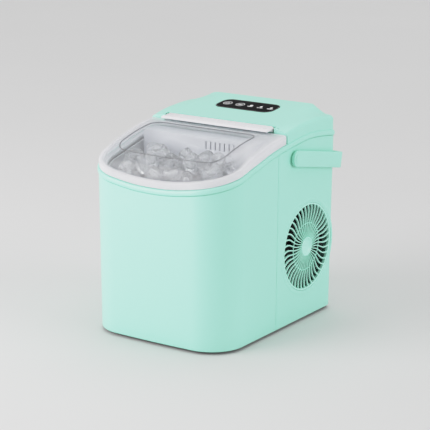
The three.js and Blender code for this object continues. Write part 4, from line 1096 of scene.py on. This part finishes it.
# ------------------------------------------------------------------ carried-over frame pieces
NODE_MATS = [
    ("hinge_pin", "steel"), ("base_screw", "steel"), ("foot_", "rubber"), ("compressor_mount", "rubber"), ("compressor", "comp"),
    ("base_pan", "dark"), ("control_board", "board"), ("water_tank", "white"), ("tank_insulation", "foam"), ("drain_plug", "plug"),
    ("ice_basket", "basket"), ("evaporator_hood", "white"), ("evaporator", "nickel"), ("water_tray", "white"), ("ice_shovel", "white"),
    ("tray_gear_motor", "motor"), ("water_pump", "dark"), ("water_tube", "tube"), ("ice_sensor", "sensor"), ("condenser", "fin"),
    ("fan_shroud", "dark"), ("fan_motor", "motor"), ("fan_rotor", "dark"), ("discharge_pipe", "copper"), ("suction_pipe", "copper"),
    ("filter_drier", "copper"), ("cord_gland", "rubber"), ("cable_gland", "rubber"),
]
group = bpy.data.node_groups.new("soft_edges", "GeometryNodeTree")
group.interface.new_socket("Geometry", in_out="INPUT", socket_type="NodeSocketGeometry")
group.interface.new_socket("Geometry", in_out="OUTPUT", socket_type="NodeSocketGeometry")
gi, go = group.nodes.new("NodeGroupInput"), group.nodes.new("NodeGroupOutput")
mg, s1, s2 = group.nodes.new("GeometryNodeMergeByDistance"), group.nodes.new("GeometryNodeSetShadeSmooth"), group.nodes.new("GeometryNodeSetShadeSmooth")
ea, cmp_ = group.nodes.new("GeometryNodeInputMeshEdgeAngle"), group.nodes.new("FunctionNodeCompare")
mg.inputs["Distance"].default_value = 0.000005
s1.domain, s2.domain = "FACE", "EDGE"
s1.inputs["Shade Smooth"].default_value = True
s2.inputs["Shade Smooth"].default_value = False
cmp_.data_type, cmp_.operation = "FLOAT", "GREATER_THAN"
cmp_.inputs[1].default_value = math.radians(32)
for a, b in ((gi.outputs[0], mg.inputs["Geometry"]), (mg.outputs[0], s1.inputs["Geometry"]), (s1.outputs[0], s2.inputs["Geometry"]), (ea.outputs[0], cmp_.inputs[0]), (cmp_.outputs[0], s2.inputs["Selection"]), (s2.outputs[0], go.inputs[0])):
    group.links.new(a, b)
for name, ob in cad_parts.items():
    if ob.hide_render:
        continue
    key = next((m for p, m in NODE_MATS if name.startswith(p)), "dark")
    ob.data.materials.clear()
    ob.data.materials.append(M[key])
    md = ob.modifiers.new("soft_edges", "NODES")
    md.node_group = group

# ------------------------------------------------------------------ stage
floor = raw("floor", [(-9000, -9000, 0), (9000, -9000, 0), (9000, 9000, 0), (-9000, 9000, 0)], [(0, 1, 2, 3)], shift=False)
fm = Mat("floor_paper")
a, b = fm.noise(1.3, 3), fm.noise(240, 3)
fm.link(fm.ramp(a, [(0.3, (0.685, 0.689, 0.692, 1)), (0.7, (0.700, 0.704, 0.707, 1))]), fm.bsdf.inputs["Base Color"])
fm.link(fm.rng(a, 0.62, 0.7), fm.bsdf.inputs["Roughness"])
fm.link(fm.bump(b, 0.05, 0.0002), fm.bsdf.inputs["Normal"])
fm.bsdf.inputs["Specular IOR Level"].default_value = 0.2
floor.data.materials.append(fm.m)

world = bpy.data.worlds.new("studio")
scene.world = world
world.use_nodes = True
bg = world.node_tree.nodes["Background"]
bg.inputs["Color"].default_value = (1.0, 0.992, 0.985, 1)
bg.inputs["Strength"].default_value = 0.54


def aimed(o, az, el, dist, target=(0, 0, 0.12)):
    """az 0 is from the front, growing towards +X."""
    a, e = math.radians(az), math.radians(el)
    d = Vector((math.sin(a) * math.cos(e), -math.cos(a) * math.cos(e), math.sin(e)))
    o.rotation_euler = d.to_track_quat("Z", "Y").to_euler()
    o.location = Vector(target) + d * dist


def sun(name, az, el, strength, angle, color=(1, 1, 1)):
    l = bpy.data.lights.new(name, "SUN")
    l.energy, l.angle, l.color = strength, math.radians(angle), color
    o = bpy.data.objects.new(name, l)
    scene.collection.objects.link(o)
    aimed(o, az, el, 5)
    return o


def soft_box(name, az, el, dist, size, power, color=(1, 1, 1)):
    l = bpy.data.lights.new(name, "AREA")
    l.shape, l.size, l.energy, l.color = "DISK", size, power, color
    o = bpy.data.objects.new(name, l)
    scene.collection.objects.link(o)
    aimed(o, az, el, dist)
    return o


soft_box("key", -34, 18, 2.0, 1.7, 33, (1, 0.955, 0.96))
sun("fill", 100, 14, 1.2, 40)
sun("over", 190, 72, 0.92, 60)

# ------------------------------------------------------------------ camera
az, el, roll = math.radians(34.2107), math.radians(14.6456), math.radians(0.1477)
back = Vector((math.sin(az) * math.cos(el), -math.cos(az) * math.cos(el), math.sin(el)))
right = Vector((math.cos(az), math.sin(az), 0))
up = back.cross(right)
r2, u2 = right * math.cos(roll) + up * math.sin(roll), -right * math.sin(roll) + up * math.cos(roll)
cam = bpy.data.cameras.new("camera")
cam.lens, cam.sensor_width, cam.sensor_fit = 137.64, 36.0, "HORIZONTAL"
cam.clip_start, cam.clip_end = 0.05, 60.0
co = bpy.data.objects.new("camera", cam)
scene.collection.objects.link(co)
co.matrix_world = Matrix(((r2.x, u2.x, back.x, 1.2409), (r2.y, u2.y, back.y, -1.8242), (r2.z, u2.z, back.z, 0.7248), (0, 0, 0, 1)))
scene.camera = co
scene.view_settings.view_transform = "Standard"
scene.view_settings.look = "None"
# a camera's soft shoulder: straight up to mid tones, then easing into white
vs = scene.view_settings
vs.use_curve_mapping = True
cm = vs.curve_mapping
cm.white_level = (4.0, 4.0, 4.0)
cm.extend = "HORIZONTAL"
curve = cm.curves[3]
pts = [(0.0, 0.0), (0.25, 0.25), (0.5, 0.5)] + [(x, 0.5 + 0.42 * (1 - math.exp(-(x - 0.5) / 0.42))) for x in (0.56, 0.64, 0.74, 0.86, 1.0, 1.2, 1.5)] + [(2.0, 0.925), (3.0, 0.975), (4.0, 1.0)]
while len(curve.points) < len(pts):
    curve.points.new(0.5, 0.5)
for p, (x, y) in zip(curve.points, pts):
    p.location = (x / 4.0, y)
cm.update()
